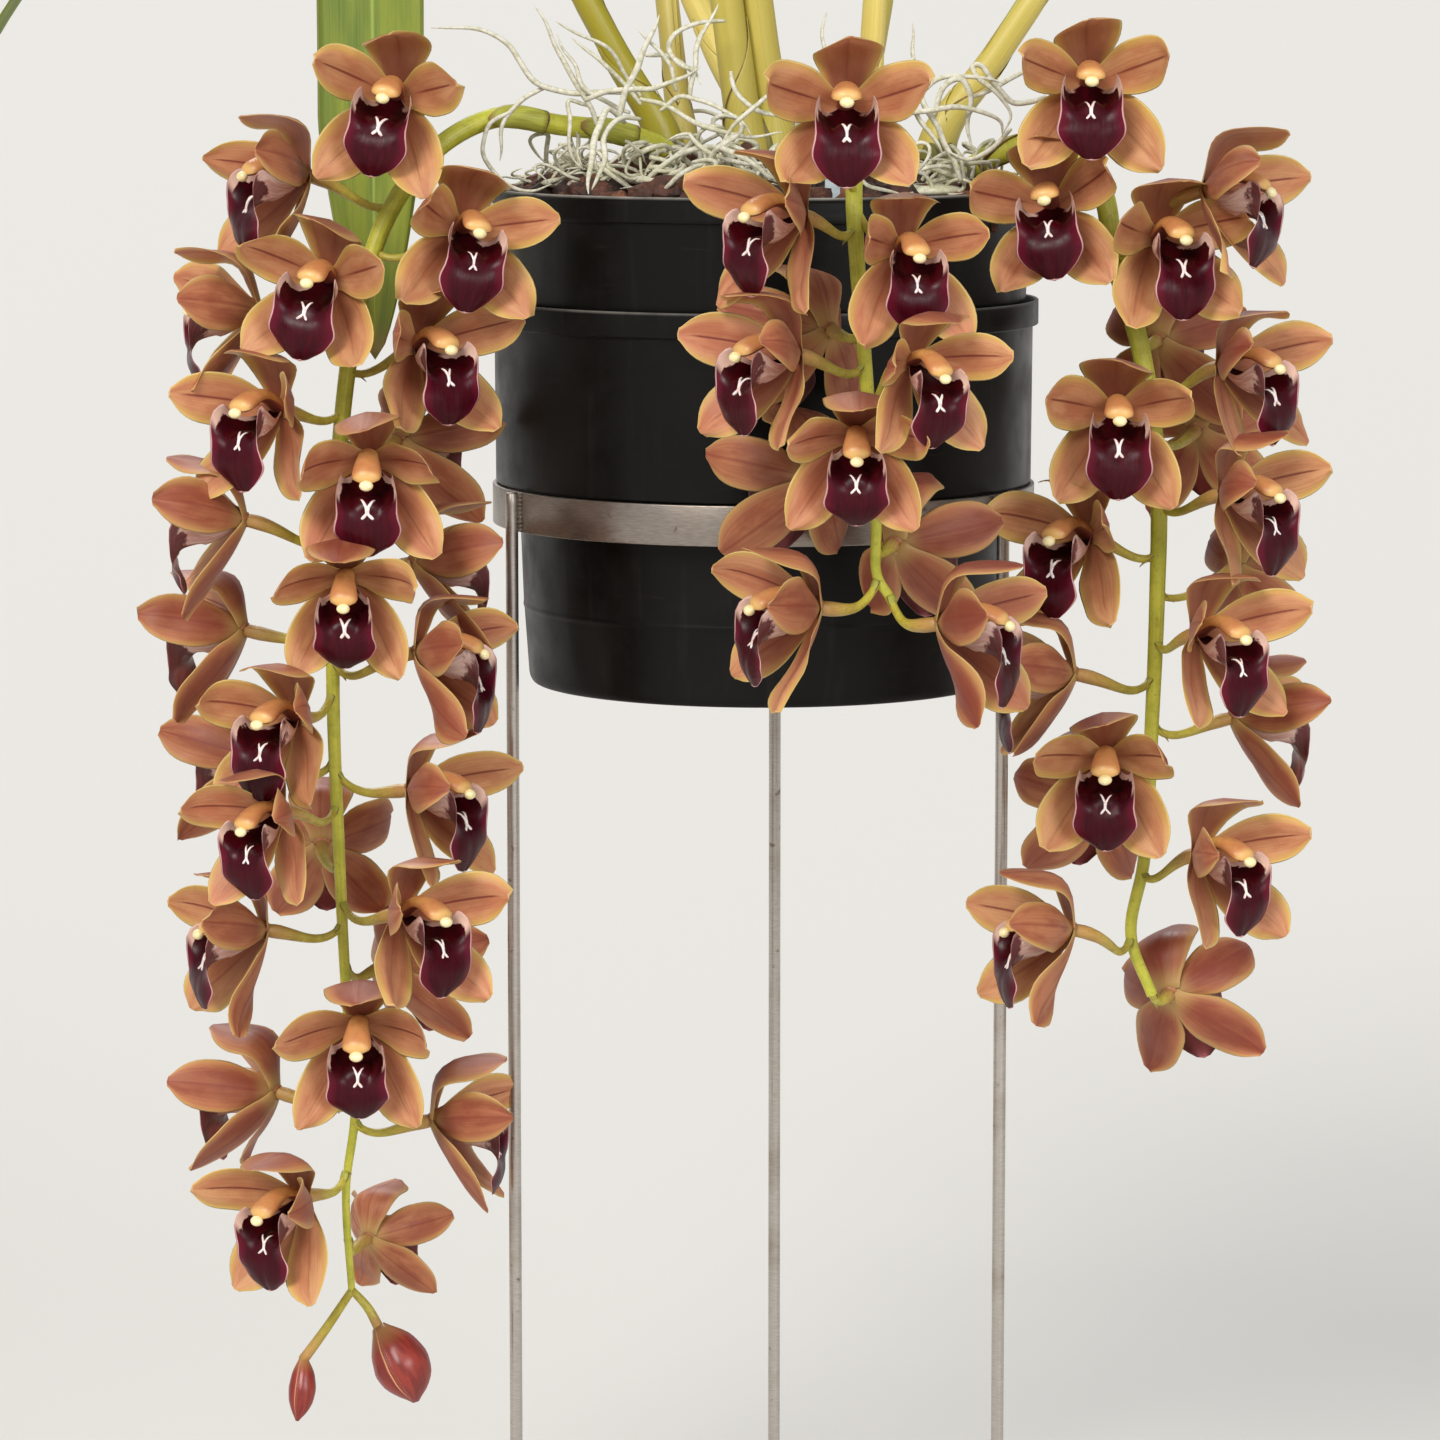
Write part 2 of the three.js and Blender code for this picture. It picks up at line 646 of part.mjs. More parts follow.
// The rings of a pedicel, carried back from the bloom's own axes without a twist
function pedicelRings(curve, { right, up, facing }) {
  const steps = 2;
  const turn = new THREE.Quaternion();
  return Array.from({ length: steps }, (_, i) => {
    const s = i / steps;
    turn.setFromUnitVectors(facing, curve.getTangent(s));
    const radius = THREE.MathUtils.lerp(bloom.pedicelRadius, bloom.ovaryRadius, s * s);
    return squareRing(
      curve.getPoint(s),
      right.clone().applyQuaternion(turn),
      up.clone().applyQuaternion(turn),
      radius,
    );
  });
}

function bloomSolid({ node, centre, size, ...axes }) {
  const placing = new THREE.Matrix4().makeBasis(axes.right, axes.up, axes.facing).setPosition(centre);
  placing.scale(vector(size, size, size));
  const placed = (points) => points.map((point) => point.clone().applyMatrix4(placing));
  const reach = node.distanceTo(centre);
  const curve = new THREE.CubicBezierCurve3(
    node,
    node.clone().lerp(centre, 0.3).addScaledVector(zAxis, -0.12 * reach),
    centre.clone().addScaledVector(axes.facing, -0.45 * reach),
    centre,
  );
  const rings = [...pedicelRings(curve, axes), placed(bloomHead.pedicelEnd)];
  const root = fan([...rings[0]].reverse());
  return solidOfTriangles([...root, ...skin(rings), ...placed(bloomHead.triangles)]);
}

function budSolid({ stalk, tip, girth }, depth) {
  const points = stalk.map(({ x, y }) => fromView(x, y, depth));
  const end = fromView(tip.x, tip.y, depth - 6);
  const stem = taperedTube(new THREE.CatmullRomCurve3(points), () => bloom.pedicelRadius, 3, 4);
  const body = taperedTube(
    new THREE.LineCurve3(points.at(-1), end),
    (s) => girth * Math.max(Math.sin(Math.PI * (0.12 + 0.86 * s)) ** 0.7, 0.12),
    4,
    6,
  );
  return [stem, body];
}

function spraySolid(name) {
  const spray = sprays[name];
  const curve = stalkCurve(spray);
  const radiusAt = (s) => THREE.MathUtils.lerp(spray.radius, spray.tipRadius, s);
  const stem = taperedTube(curve, radiusAt, Math.round(1.4 * spray.stalk.length), 6);
  const heads = spray.blooms.map((place) => bloomSolid(placeBloom(curve, place)));
  const buds = spray.buds.flatMap((bud) => budSolid(bud, curve.getPointAt(1).y));
  return joined([stem, ...heads, ...buds]);
}

// Moss: tufts of stiff curled strands, each fanned from a root pressed into the bark
const tufts = {
  moss_left: { x: -97, y: 14, heading: 120, spread: 120 },
  moss_front: { x: -12, y: -94, heading: 180, spread: 110 },
  moss_right: { x: 74, y: -74, heading: 350, spread: 60 },
  moss_back: { x: 8, y: 97, heading: 90, spread: 150 },
};

function mossStrand({ x, y, heading, spread }, i, draw) {
  const turn = radians(heading + spread * ((i + 0.5) / moss.strands - 0.5));
  const reach = 26 + 12 * draw();
  const rise = 20 + 26 * draw();
  const baseZ = crownZ(Math.hypot(x, y));
  const place = (out, side, z) => vector(
    x + out * Math.cos(turn) - side * Math.sin(turn),
    y + out * Math.sin(turn) + side * Math.cos(turn),
    baseZ + z,
  );
  const curl = 10 * (draw() - 0.5);
  const curve = new THREE.CatmullRomCurve3([
    place(0, 0, 2),
    place(reach * 0.25, curl, rise * 0.7),
    place(reach * 0.7, 0, rise),
    place(reach, -curl, rise * 0.6),
    place(reach * 0.8, -curl, rise * 0.5),
  ]);
  return taperedTube(curve, () => moss.strandRadius, 5, 3);
}

function tuftSolid(name, seed) {
  const { x, y } = tufts[name];
  const draw = seededDraw(seed);
  const root = rod(moss.rootRadius, moss.rootHeight, 6);
  const rootZ = crownZ(Math.hypot(x, y)) + moss.rootHeight / 2 - 4;
  const strands = Array.from({ length: moss.strands }, (_, i) => mossStrand(tufts[name], i, draw));
  return joined([root.translate(x, y, rootZ), ...strands]);
}

// A plain hole that clears everything above a tuft's root
function tuftSocket({ x, y }) {
  const floor = crownZ(Math.hypot(x, y)) - 4 - seatGap;
  return rod(moss.rootRadius + 2 * seatGap, 60, 6).translate(x, y, floor + 30);
}

// Tag: a blank plastic strip pushed into the bark behind the middle stalk
function tagBlock(grow, lowZ, height) {
  const block = new THREE.BoxGeometry(tag.width + 2 * grow, tag.thickness + 2 * grow, height);
  return solid(block.translate(tag.x, tag.y, lowZ + height / 2));
}

const tagSolid = tagBlock(0, tag.lowZ, tag.topZ - tag.lowZ);
const tagSocket = tagBlock(seatGap, tag.lowZ - seatGap, 100);

// Bark: fills the inner pot and crowns over its rim in chunks, with a plain hole for each stem
function stemSocket(name) {
  const curve = stalkCurve(sprays[name]);
  const start = curve.getPointAt(0);
  const direction = curve.getTangentAt(0);
  const length = 60;
  const socket = new THREE.CylinderGeometry(1, 1, length, 8).rotateX(Math.PI / 2).scale(
    sprays[name].radius + stemClearance,
    sprays[name].radius + stemClearance,
    1,
  );
  socket.translate(0, 0, length / 2 - seatGap);
  socket.applyQuaternion(new THREE.Quaternion().setFromUnitVectors(zAxis, direction));
  return solid(socket.translate(start.x, start.y, start.z));
}

// The height of the bark at a distance from the pot's axis
function crownZ(r) {
  return bark.edgeZ + bark.crown * (1 - (r / innerPot.neckRadius) ** 2);
}

const barkSolid = (() => {
  const { wall, floorRadius, mouthRadius, neckRadius } = innerPot;
  const inset = wall + bark.clearance;
  const low = innerFloorZ + wall + seatGap;
  const bed = lathe([
    [0, low],
    [floorRadius - inset, low],
    [mouthRadius - inset, outerRimZ],
    [neckRadius - inset, bark.edgeZ - 8],
    [neckRadius - inset, bark.edgeZ],
    [70, crownZ(70)],
    [0, crownZ(0)],
  ], barkSteps);
  const draw = seededDraw(7);
  const chunks = Array.from({ length: bark.chunks }, (_, i) => {
    const r = 30 + 78 * Math.sqrt((i + 0.5) / bark.chunks);
    const angle = i * 2.4;
    const chunk = new THREE.IcosahedronGeometry(11 + 5 * draw(), 0);
    chunk.scale(1, 0.75, 0.6).rotateZ(6 * draw()).rotateX(0.8 * (draw() - 0.5));
    return solid(chunk.translate(r * Math.cos(angle), r * Math.sin(angle), crownZ(r) + 1));
  });
  const bulbSockets = Object.values(growths).map(({ x, y }) => (
    rod(bulb.radius + seatGap, 80, 8).translate(x, y, bark.socketZ + 40)
  ));
  const stemSockets = Object.keys(sprays).map(stemSocket);
  const tuftSockets = Object.values(tufts).map(tuftSocket);
  const sockets = [...bulbSockets, ...stemSockets, ...tuftSockets, tagSocket];
  return joined([bed, ...chunks]).subtract(joined(sockets));
})();

// Materials and nodes
function material(look) {
  return new THREE.MeshStandardMaterial(colours[look]);
}

function node(name, manifold, look) {
  const mesh = new THREE.Mesh(geometryOf(manifold), material(look));
  mesh.name = name;
  return mesh;
}

const group = new THREE.Group();
group.add(node('stand_ring', standRing, 'steel'));
Object.entries(stand.rodAngles).forEach(([side, angle]) => {
  group.add(node(`stand_leg_${side}`, standRod(angle), 'steel'));
});
group.add(node('outer_pot', outerPotSolid, 'blackPlastic'));
group.add(node('inner_pot', innerPotSolid, 'blackPlastic'));
group.add(node('bark_bed', barkSolid, 'bark'));
Object.keys(growths).forEach((name, i) => {
  group.add(node(name, growthSolid(name, 11 + i), 'leaf'));
});
Object.keys(sprays).forEach((name) => {
  group.add(node(name, spraySolid(name), 'tepal'));
});
Object.keys(tufts).forEach((name, i) => {
  group.add(node(name, tuftSolid(name, 31 + i), 'moss'));
});
group.add(node('plant_tag', tagSolid, 'label'));

// The origin lies under the middle of the whole, on the floor
const bounds = new THREE.Box3().setFromObject(group);
const middle = bounds.getCenter(new THREE.Vector3());
group.position.set(-middle.x, -middle.y, -bounds.min.z);

export default group;
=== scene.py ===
import math
import random

import bpy
import numpy as np
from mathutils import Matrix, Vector
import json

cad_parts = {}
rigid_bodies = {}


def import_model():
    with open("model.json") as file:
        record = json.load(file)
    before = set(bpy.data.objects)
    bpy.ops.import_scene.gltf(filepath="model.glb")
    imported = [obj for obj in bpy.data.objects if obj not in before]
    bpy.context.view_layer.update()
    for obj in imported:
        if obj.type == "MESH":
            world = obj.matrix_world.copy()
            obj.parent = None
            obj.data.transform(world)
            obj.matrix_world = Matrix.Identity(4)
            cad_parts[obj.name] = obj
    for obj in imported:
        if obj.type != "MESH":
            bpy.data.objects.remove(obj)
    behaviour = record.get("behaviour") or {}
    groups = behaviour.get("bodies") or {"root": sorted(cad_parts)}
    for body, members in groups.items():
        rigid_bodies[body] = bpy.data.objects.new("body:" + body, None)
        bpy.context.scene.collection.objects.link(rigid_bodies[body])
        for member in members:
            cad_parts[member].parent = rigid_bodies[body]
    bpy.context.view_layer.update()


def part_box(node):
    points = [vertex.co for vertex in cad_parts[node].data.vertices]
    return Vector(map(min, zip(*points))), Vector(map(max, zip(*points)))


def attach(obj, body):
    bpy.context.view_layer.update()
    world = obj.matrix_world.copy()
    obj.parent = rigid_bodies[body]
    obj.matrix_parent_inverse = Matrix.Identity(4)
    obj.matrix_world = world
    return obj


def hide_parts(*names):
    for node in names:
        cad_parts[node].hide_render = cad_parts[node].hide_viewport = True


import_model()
scene = bpy.context.scene
mm = 0.001
# radians, near enough for a turn at random
fullTurn = 6.28

# Everything below is laid out in millimetres round the pot's axis, with the feet at height 0
ringLow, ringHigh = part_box("stand_ring")
potAxis = np.array([(ringLow.x + ringHigh.x) / 2, (ringLow.y + ringHigh.y) / 2, 0.0])


# Camera: its place is in the pot's own millimetres, and its lens takes in the whole 1440 pixel frame

camera = {"side": -21, "distance": 2728, "height": 847, "pitch": 7.598, "lens": 141.24, "sensor": 36,
          "frame": 1440}


def makeCamera():
    data = bpy.data.cameras.new("camera")
    data.lens = camera["lens"]
    data.sensor_width = camera["sensor"]
    eye = bpy.data.objects.new("camera", data)
    eye.location = Vector(potAxis) + Vector((camera["side"], -camera["distance"], camera["height"])) * mm
    eye.rotation_euler = (math.radians(90 - camera["pitch"]), 0, 0)
    scene.collection.objects.link(eye)
    scene.camera = eye


def atPixel(x, y, depth):
    # the point of the frame's pixel x, y that lies at this depth from the pot's axis
    focal = camera["lens"] / camera["sensor"] * camera["frame"]
    across = (x - camera["frame"] / 2) / focal
    rise = (camera["frame"] / 2 - y) / focal
    pitch = math.radians(camera["pitch"])
    ahead = math.cos(pitch) + rise * math.sin(pitch)
    lift = rise * math.cos(pitch) - math.sin(pitch)
    far = (camera["distance"] + depth) / ahead
    return np.array([camera["side"] + across * far, depth, camera["height"] + lift * far])


makeCamera()
print("camera made")


# Small helpers for shapes

def smooth(x, low=0.0, high=1.0):
    t = np.clip((np.asarray(x, float) - low) / (high - low), 0, 1)
    return t * t * (3 - 2 * t)


def unit(v):
    return v / np.maximum(np.linalg.norm(v, axis=-1, keepdims=True), 1e-9)


def roundAngles(count):
    return np.linspace(0, 2 * math.pi, count, endpoint=False)


def profile(way, pairs):
    # reads a table of (place, value) pairs
    return np.interp(way, *zip(*pairs))


def softened(values, weights):
    # a running average that keeps both ends
    return np.convolve(np.pad(values, len(weights) // 2, mode="edge"), weights, mode="valid")


def throughPoints(points, count):
    # a smooth line through the points, at even steps
    p = np.asarray(points, float)
    p = np.vstack([2 * p[0] - p[1], p, 2 * p[-1] - p[-2]])
    dense = []
    for i in range(1, len(p) - 2):
        knots = [0.0]
        for a, b in ((i - 1, i), (i, i + 1), (i + 1, i + 2)):
            knots.append(knots[-1] + math.sqrt(np.linalg.norm(p[b] - p[a])) + 1e-9)
        t = np.linspace(knots[1], knots[2], 24, endpoint=False)[:, None]
        k0, k1, k2, k3 = knots
        a1 = (k1 - t) / (k1 - k0) * p[i - 1] + (t - k0) / (k1 - k0) * p[i]
        a2 = (k2 - t) / (k2 - k1) * p[i] + (t - k1) / (k2 - k1) * p[i + 1]
        a3 = (k3 - t) / (k3 - k2) * p[i + 1] + (t - k2) / (k3 - k2) * p[i + 2]
        b1 = (k2 - t) / (k2 - k0) * a1 + (t - k0) / (k2 - k0) * a2
        b2 = (k3 - t) / (k3 - k1) * a2 + (t - k1) / (k3 - k1) * a3
        dense.append((k2 - t) / (k2 - k1) * b1 + (t - k1) / (k2 - k1) * b2)
    return evenly(np.vstack([*dense, p[-2][None]]), count)


def evenly(line, count):
    run = np.concatenate([[0], np.cumsum(np.linalg.norm(np.diff(line, axis=0), axis=1))])
    steps = np.linspace(0, run[-1], count)
    return np.stack([np.interp(steps, run, line[:, k]) for k in range(line.shape[1])], axis=1)


def carriedFrames(line, first):
    # directions along the line, and two square to it that turn as little as they can
    along = unit(np.gradient(line, axis=0))
    side = np.zeros_like(line)
    side[0] = unit(first - along[0] * np.dot(first, along[0]))
    for i in range(1, len(line)):
        side[i] = unit(side[i - 1] - along[i] * np.dot(side[i - 1], along[i]))
    return along, side, np.cross(along, side)


def twisted(normal, across, twist):
    cosine, sine = np.cos(twist)[:, None], np.sin(twist)[:, None]
    return normal * cosine + across * sine, across * cosine - normal * sine


def cupped(half, fold, a):
    # the section of a blade bent to part of a circle: its angles, and its points across and above the spine
    theta = fold[:, None] * a[None, :]
    half, fold = half[:, None], fold[:, None]
    return theta, half * np.sin(theta) / fold, half * (1 - np.cos(theta)) / fold


def overSpine(spine, across, normal, x, z):
    return spine[:, None] + across[:, None] * x[..., None] + normal[:, None] * z[..., None]


def roundLine(side, other, wrap, flat=1.0):
    # directions away from a line, at the angles wrap round it
    return side[:, None] * np.cos(wrap)[..., None] + other[:, None] * flat * np.sin(wrap)[..., None]


class Shape:
    # points, faces and named values per point, gathered before they become one mesh
    def __init__(self):
        self.points = []
        self.faces = []
        self.kinds = []
        self.values = {}
        self.size = 0

    def add(self, points, faces, kind, values):
        points = np.asarray(points, float).reshape(-1, 3)
        self.points.append(points)
        for group in faces:
            group = np.asarray(group, int)
            if len(group):
                self.faces.append(group + self.size)
                self.kinds.append(np.full(len(group), kind))
        for name in set(self.values) | set(values):
            held = self.values.setdefault(name, [np.zeros(self.size)] if self.size else [])
            held.append(np.broadcast_to(np.asarray(values.get(name, 0.0), float).ravel(), len(points)).copy())
        self.size += len(points)

    def makeObject(self, name, materials, sharp=None, scale=mm, offset=None):
        points = np.vstack(self.points) * scale + (potAxis if offset is None else offset)
        mesh = bpy.data.meshes.new(name)
        corners = np.concatenate([group.ravel() for group in self.faces])
        sides = np.concatenate([np.full(len(group), group.shape[1]) for group in self.faces])
        mesh.vertices.add(len(points))
        mesh.vertices.foreach_set("co", points.ravel())
        mesh.loops.add(len(corners))
        mesh.loops.foreach_set("vertex_index", corners.astype(np.int32))
        mesh.polygons.add(len(sides))
        mesh.polygons.foreach_set("loop_start", np.concatenate([[0], np.cumsum(sides)[:-1]]).astype(np.int32))
        mesh.polygons.foreach_set("material_index", np.concatenate(self.kinds).astype(np.int32))
        mesh.polygons.foreach_set("use_smooth", np.ones(len(sides), bool))
        for key, held in self.values.items():
            attribute = mesh.attributes.new(key, "FLOAT", "POINT")
            attribute.data.foreach_set("value", np.concatenate(held).astype(np.float32))
        mesh.update(calc_edges=True)
        mesh.validate()
        if sharp:
            mesh.set_sharp_from_angle(angle=math.radians(sharp))
        for material in materials:
            mesh.materials.append(material)
        made = bpy.data.objects.new(name, mesh)
        scene.collection.objects.link(made)
        return made


def tubeGrid(line, radii, sides, first=(0, 0, 1), ribs=None, flat=1.0):
    # rings of points round a line; ribs(angle, way) scales the radius
    along, side, other = carriedFrames(line, np.asarray(first, float))
    angle = roundAngles(sides)
    radii = np.broadcast_to(radii, len(line))[:, None]
    if ribs is not None:
        radii = radii * ribs(angle[None, :], np.linspace(0, 1, len(line))[:, None])
    return (line[:, None, :] + side[:, None, :] * (radii * np.cos(angle))[..., None] * flat
            + other[:, None, :] * (radii * np.sin(angle))[..., None])


def closedRings(rings, sides):
    # faces between rings of points, and from one more point to the first ring and another to the last
    i = np.arange(rings - 1)[:, None] * sides
    k = np.arange(sides)[None, :]
    n = (k + 1) % sides
    quads = np.stack([i + k, i + n, i + sides + n, i + sides + k], axis=-1).reshape(-1, 4)
    k, n = k.ravel(), n.ravel()
    first, top = rings * sides, (rings - 1) * sides
    low = np.stack([np.full(sides, first), n, k], axis=-1)
    high = np.stack([np.full(sides, first + 1), top + k, top + n], axis=-1)
    return [quads, low, high]


def addTube(shape, grid, kind, values=None, along=None):
    # closes the tube with a point in the middle of each end
    rows, sides = grid.shape[:2]
    ends = np.stack([grid[0].mean(0), grid[-1].mean(0)])
    points = np.vstack([grid.reshape(-1, 3), ends])
    way = np.linspace(0, 1, rows) if along is None else along
    held = {"along": np.concatenate([np.repeat(way, sides), [way[0], way[-1]]])}
    turn = np.tile(np.arange(sides) / sides, rows)
    held["across"] = np.concatenate([turn, [0, 0]])
    held.update(values or {})
    shape.add(points, closedRings(rows, sides), kind, held)


def addLathe(shape, outline, sides, kind, values=None):
    # a closed outline of [radius, height], turned about the pot's axis
    outline = np.asarray(outline, float)
    rows = len(outline)
    angle = roundAngles(sides)
    points = []
    index = []
    for radius, height in outline:
        if radius < 1e-6:
            index.append(np.full(sides, len(points)))
            points.append((0, 0, height))
        else:
            index.append(len(points) + np.arange(sides))
            points.extend(zip(radius * np.cos(angle), radius * np.sin(angle), np.full(sides, height)))
    quads = []
    tris = []
    for i in range(rows):
        a, b = index[i], index[(i + 1) % rows]
        flatEnds = outline[i][0] < 1e-6 and outline[(i + 1) % rows][0] < 1e-6
        if flatEnds:
            continue
        for k in range(sides):
            n = (k + 1) % sides
            ring = [a[k], a[n], b[n], b[k]]
            ring = list(dict.fromkeys(ring))
            (quads if len(ring) == 4 else tris).append(ring)
    shape.add(points, [quads, tris], kind, values or {})


def addShell(shape, front, normal, thick, kind, values, tip=None):
    # a thin closed blade: a front and a back that meet at the two long edges and the tip
    rows, cols = front.shape[:2]
    lift = (thick / 2)[..., None] * normal
    upper, lower = front + lift, front - lift
    middle = (upper[:, [0, -1]] + lower[:, [0, -1]]) / 2
    upper[:, [0, -1]] = middle
    inner = cols - 2
    points = np.vstack([upper.reshape(-1, 3), lower[:, 1:-1].reshape(-1, 3)])
    f = np.arange(rows * cols).reshape(rows, cols)
    b = f.copy()
    b[:, 1:-1] = rows * cols + np.arange(rows * inner).reshape(rows, inner)
    quadsFront = np.stack([f[:-1, :-1], f[:-1, 1:], f[1:, 1:], f[1:, :-1]], axis=-1).reshape(-1, 4)
    quadsBack = np.stack([b[:-1, :-1], b[1:, :-1], b[1:, 1:], b[:-1, 1:]], axis=-1).reshape(-1, 4)
    rootQuads = np.stack([f[0, 1:-2], b[0, 1:-2], b[0, 2:-1], f[0, 2:-1]], axis=-1)
    rootTris = [[f[0, 0], b[0, 1], f[0, 1]], [f[0, -2], b[0, -2], f[0, -1]]]
    tris = [rootTris]
    if tip is not None:
        points = np.vstack([points, tip[None]])
        t = len(points) - 1
        tris.append(np.stack([f[-1, :-1], f[-1, 1:], np.full(cols - 1, t)], axis=-1))
        tris.append(np.stack([b[-1, 1:], b[-1, :-1], np.full(cols - 1, t)], axis=-1))
    a, c, d = upper[rows // 2, cols // 2], upper[rows // 2, cols // 2 + 1], upper[rows // 2 + 1, cols // 2]
    groups = [quadsFront, quadsBack, rootQuads, *[np.asarray(t, int) for t in tris]]
    if np.dot(np.cross(c - a, d - a), normal[rows // 2, cols // 2]) < 0:
        groups = [g[:, ::-1] for g in groups]
    held = {}
    for name, value in values.items():
        value = np.broadcast_to(value, (rows, cols))
        end = [value[-1].mean()] if tip is not None else []
        held[name] = np.concatenate([value.ravel(), value[:, 1:-1].ravel(), end])
    side = np.concatenate([np.zeros(rows * cols), np.ones(rows * inner), [0.5] if tip is not None else []])
    side[np.concatenate([f[:, 0], f[:, -1]])] = 0.5
    held["side"] = side
    shape.add(points, groups, kind, held)


# Small helpers for materials

def newMaterial(name, **values):
    material = bpy.data.materials.new(name)
    material.use_nodes = True
    shader = material.node_tree.nodes["Principled BSDF"]
    for socket, value in values.items():
        shader.inputs[socket.replace("_", " ")].default_value = value
    return material, material.node_tree, shader


def wire(tree, source, target):
    if isinstance(source, bpy.types.NodeSocket):
        tree.links.new(source, target)
    else:
        target.default_value = source


def makeNode(tree, kind, settings=None, **inputs):
    # inputs are wired or set by name, with an underscore for each space
    node = tree.nodes.new(kind)
    for name, setting in (settings or {}).items():
        setattr(node, name, setting)
    for name, source in inputs.items():
        wire(tree, source, node.inputs[name.replace("_", " ")])
    return node


def value(tree, name):
    return makeNode(tree, "ShaderNodeAttribute", {"attribute_name": name}).outputs["Fac"]


def place(tree, scale=(1, 1, 1)):
    where = makeNode(tree, "ShaderNodeTexCoord").outputs["Object"]
    return makeNode(tree, "ShaderNodeMapping", Vector=where, Scale=scale).outputs["Vector"]


def combine(tree, x, y, z):
    return makeNode(tree, "ShaderNodeCombineXYZ", X=x, Y=y, Z=z).outputs["Vector"]


def reckon(tree, operation, a, b=0.0):
    node = makeNode(tree, "ShaderNodeMath", {"operation": operation})
    wire(tree, a, node.inputs[0])
    wire(tree, b, node.inputs[1])
    return node.outputs["Value"]


def times(tree, a, b):
    return reckon(tree, "MULTIPLY", a, b)


def plus(tree, a, b):
    return reckon(tree, "ADD", a, b)


def absolute(tree, a):
    return reckon(tree, "ABSOLUTE", a)


def uneven(tree, cloud, size):
    # a cloud's value either side of zero, to make an edge ragged
    return times(tree, reckon(tree, "SUBTRACT", cloud, 0.5), size)


def noise(tree, vector, scale, detail=3.0, rough=0.55):
    return makeNode(tree, "ShaderNodeTexNoise", Vector=vector, Scale=scale, Detail=detail,
                    Roughness=rough).outputs["Fac"]


def streaked(tree, across, broad, along, long, shift, detail=3.0, rough=0.55):
    # noise drawn out along a blade, and shifted so that no two are alike
    where = combine(tree, times(tree, across, broad), times(tree, along, long), shift)
    return noise(tree, where, 1, detail, rough)


def band(tree, source, low, high, start=0.0, end=1.0):
    # a smooth step of a value
    return makeNode(tree, "ShaderNodeMapRange", {"interpolation_type": "SMOOTHSTEP"}, Value=source,
                    From_Min=low, From_Max=high, To_Min=start, To_Max=end).outputs["Result"]


def rgb(red, green, blue):
    # a colour as a painter reads it, 0 to 255, into the scene's linear values
    linear = [c / 255 / 12.92 if c <= 10 else ((c / 255 + 0.055) / 1.055) ** 2.4 for c in (red, green, blue)]
    return (*linear, 1.0)


def blend(tree, share, a, b):
    node = makeNode(tree, "ShaderNodeMix", {"data_type": "RGBA"}, Factor=share)
    wire(tree, a, node.inputs[6])
    wire(tree, b, node.inputs[7])
    return node.outputs[2]


def dress(tree, shader, colour, height, strength, distance, gloss=None):
    # joins a colour, a bump of this height and, where it varies, a roughness to the shader
    bump = makeNode(tree, "ShaderNodeBump", Strength=strength, Distance=distance, Height=height)
    wire(tree, colour, shader.inputs["Base Color"])
    wire(tree, bump.outputs["Normal"], shader.inputs["Normal"])
    if gloss:
        wire(tree, gloss, shader.inputs["Roughness"])


# Stand: a flat-bar steel ring and three rods welded outside it

stand = {"ringTop": 600, "ringHeight": 19, "ringRadius": 131, "thickness": 3, "rodRadius": 3,
         "rodCircle": 134.3, "rods": {"back": 87, "left": 207, "right": 327}, "edge": 0.5, "beads": 9,
         "bead": 1.5}


def steelMaterial(name, dark, light):
    material, tree, shader = newMaterial(name, Metallic=0.92, Roughness=0.34)
    drawn = noise(tree, place(tree, (220, 220, 2600)), 1, 3)
    cloud = noise(tree, place(tree), 22, 4, 0.55)
    spots = noise(tree, place(tree), 190, 2, 0.5)
    base = blend(tree, band(tree, drawn, 0.3, 0.7), dark, light)
    base = blend(tree, band(tree, cloud, 0.52, 0.76, 0, 0.6), base, rgb(140, 122, 102))
    base = blend(tree, band(tree, spots, 0.68, 0.78, 0, 0.7), base, rgb(96, 76, 56))
    dress(tree, shader, base, drawn, 0.08, 0.0003, band(tree, cloud, 0.3, 0.75, 0.27, 0.46))
    return material


def roundedBar(inner, outer, low, high, edge):
    corners = [(inner, low, 180), (outer, low, 270), (outer, high, 0), (inner, high, 90)]
    outline = []
    for radius, height, start in corners:
        middle = radius + edge * (1 if radius == inner else -1)
        level = height + edge * (1 if height == low else -1)
        for k in range(4):
            turn = math.radians(start + 30 * k)
            outline.append((middle + edge * math.cos(turn), level + edge * math.sin(turn)))
    return outline


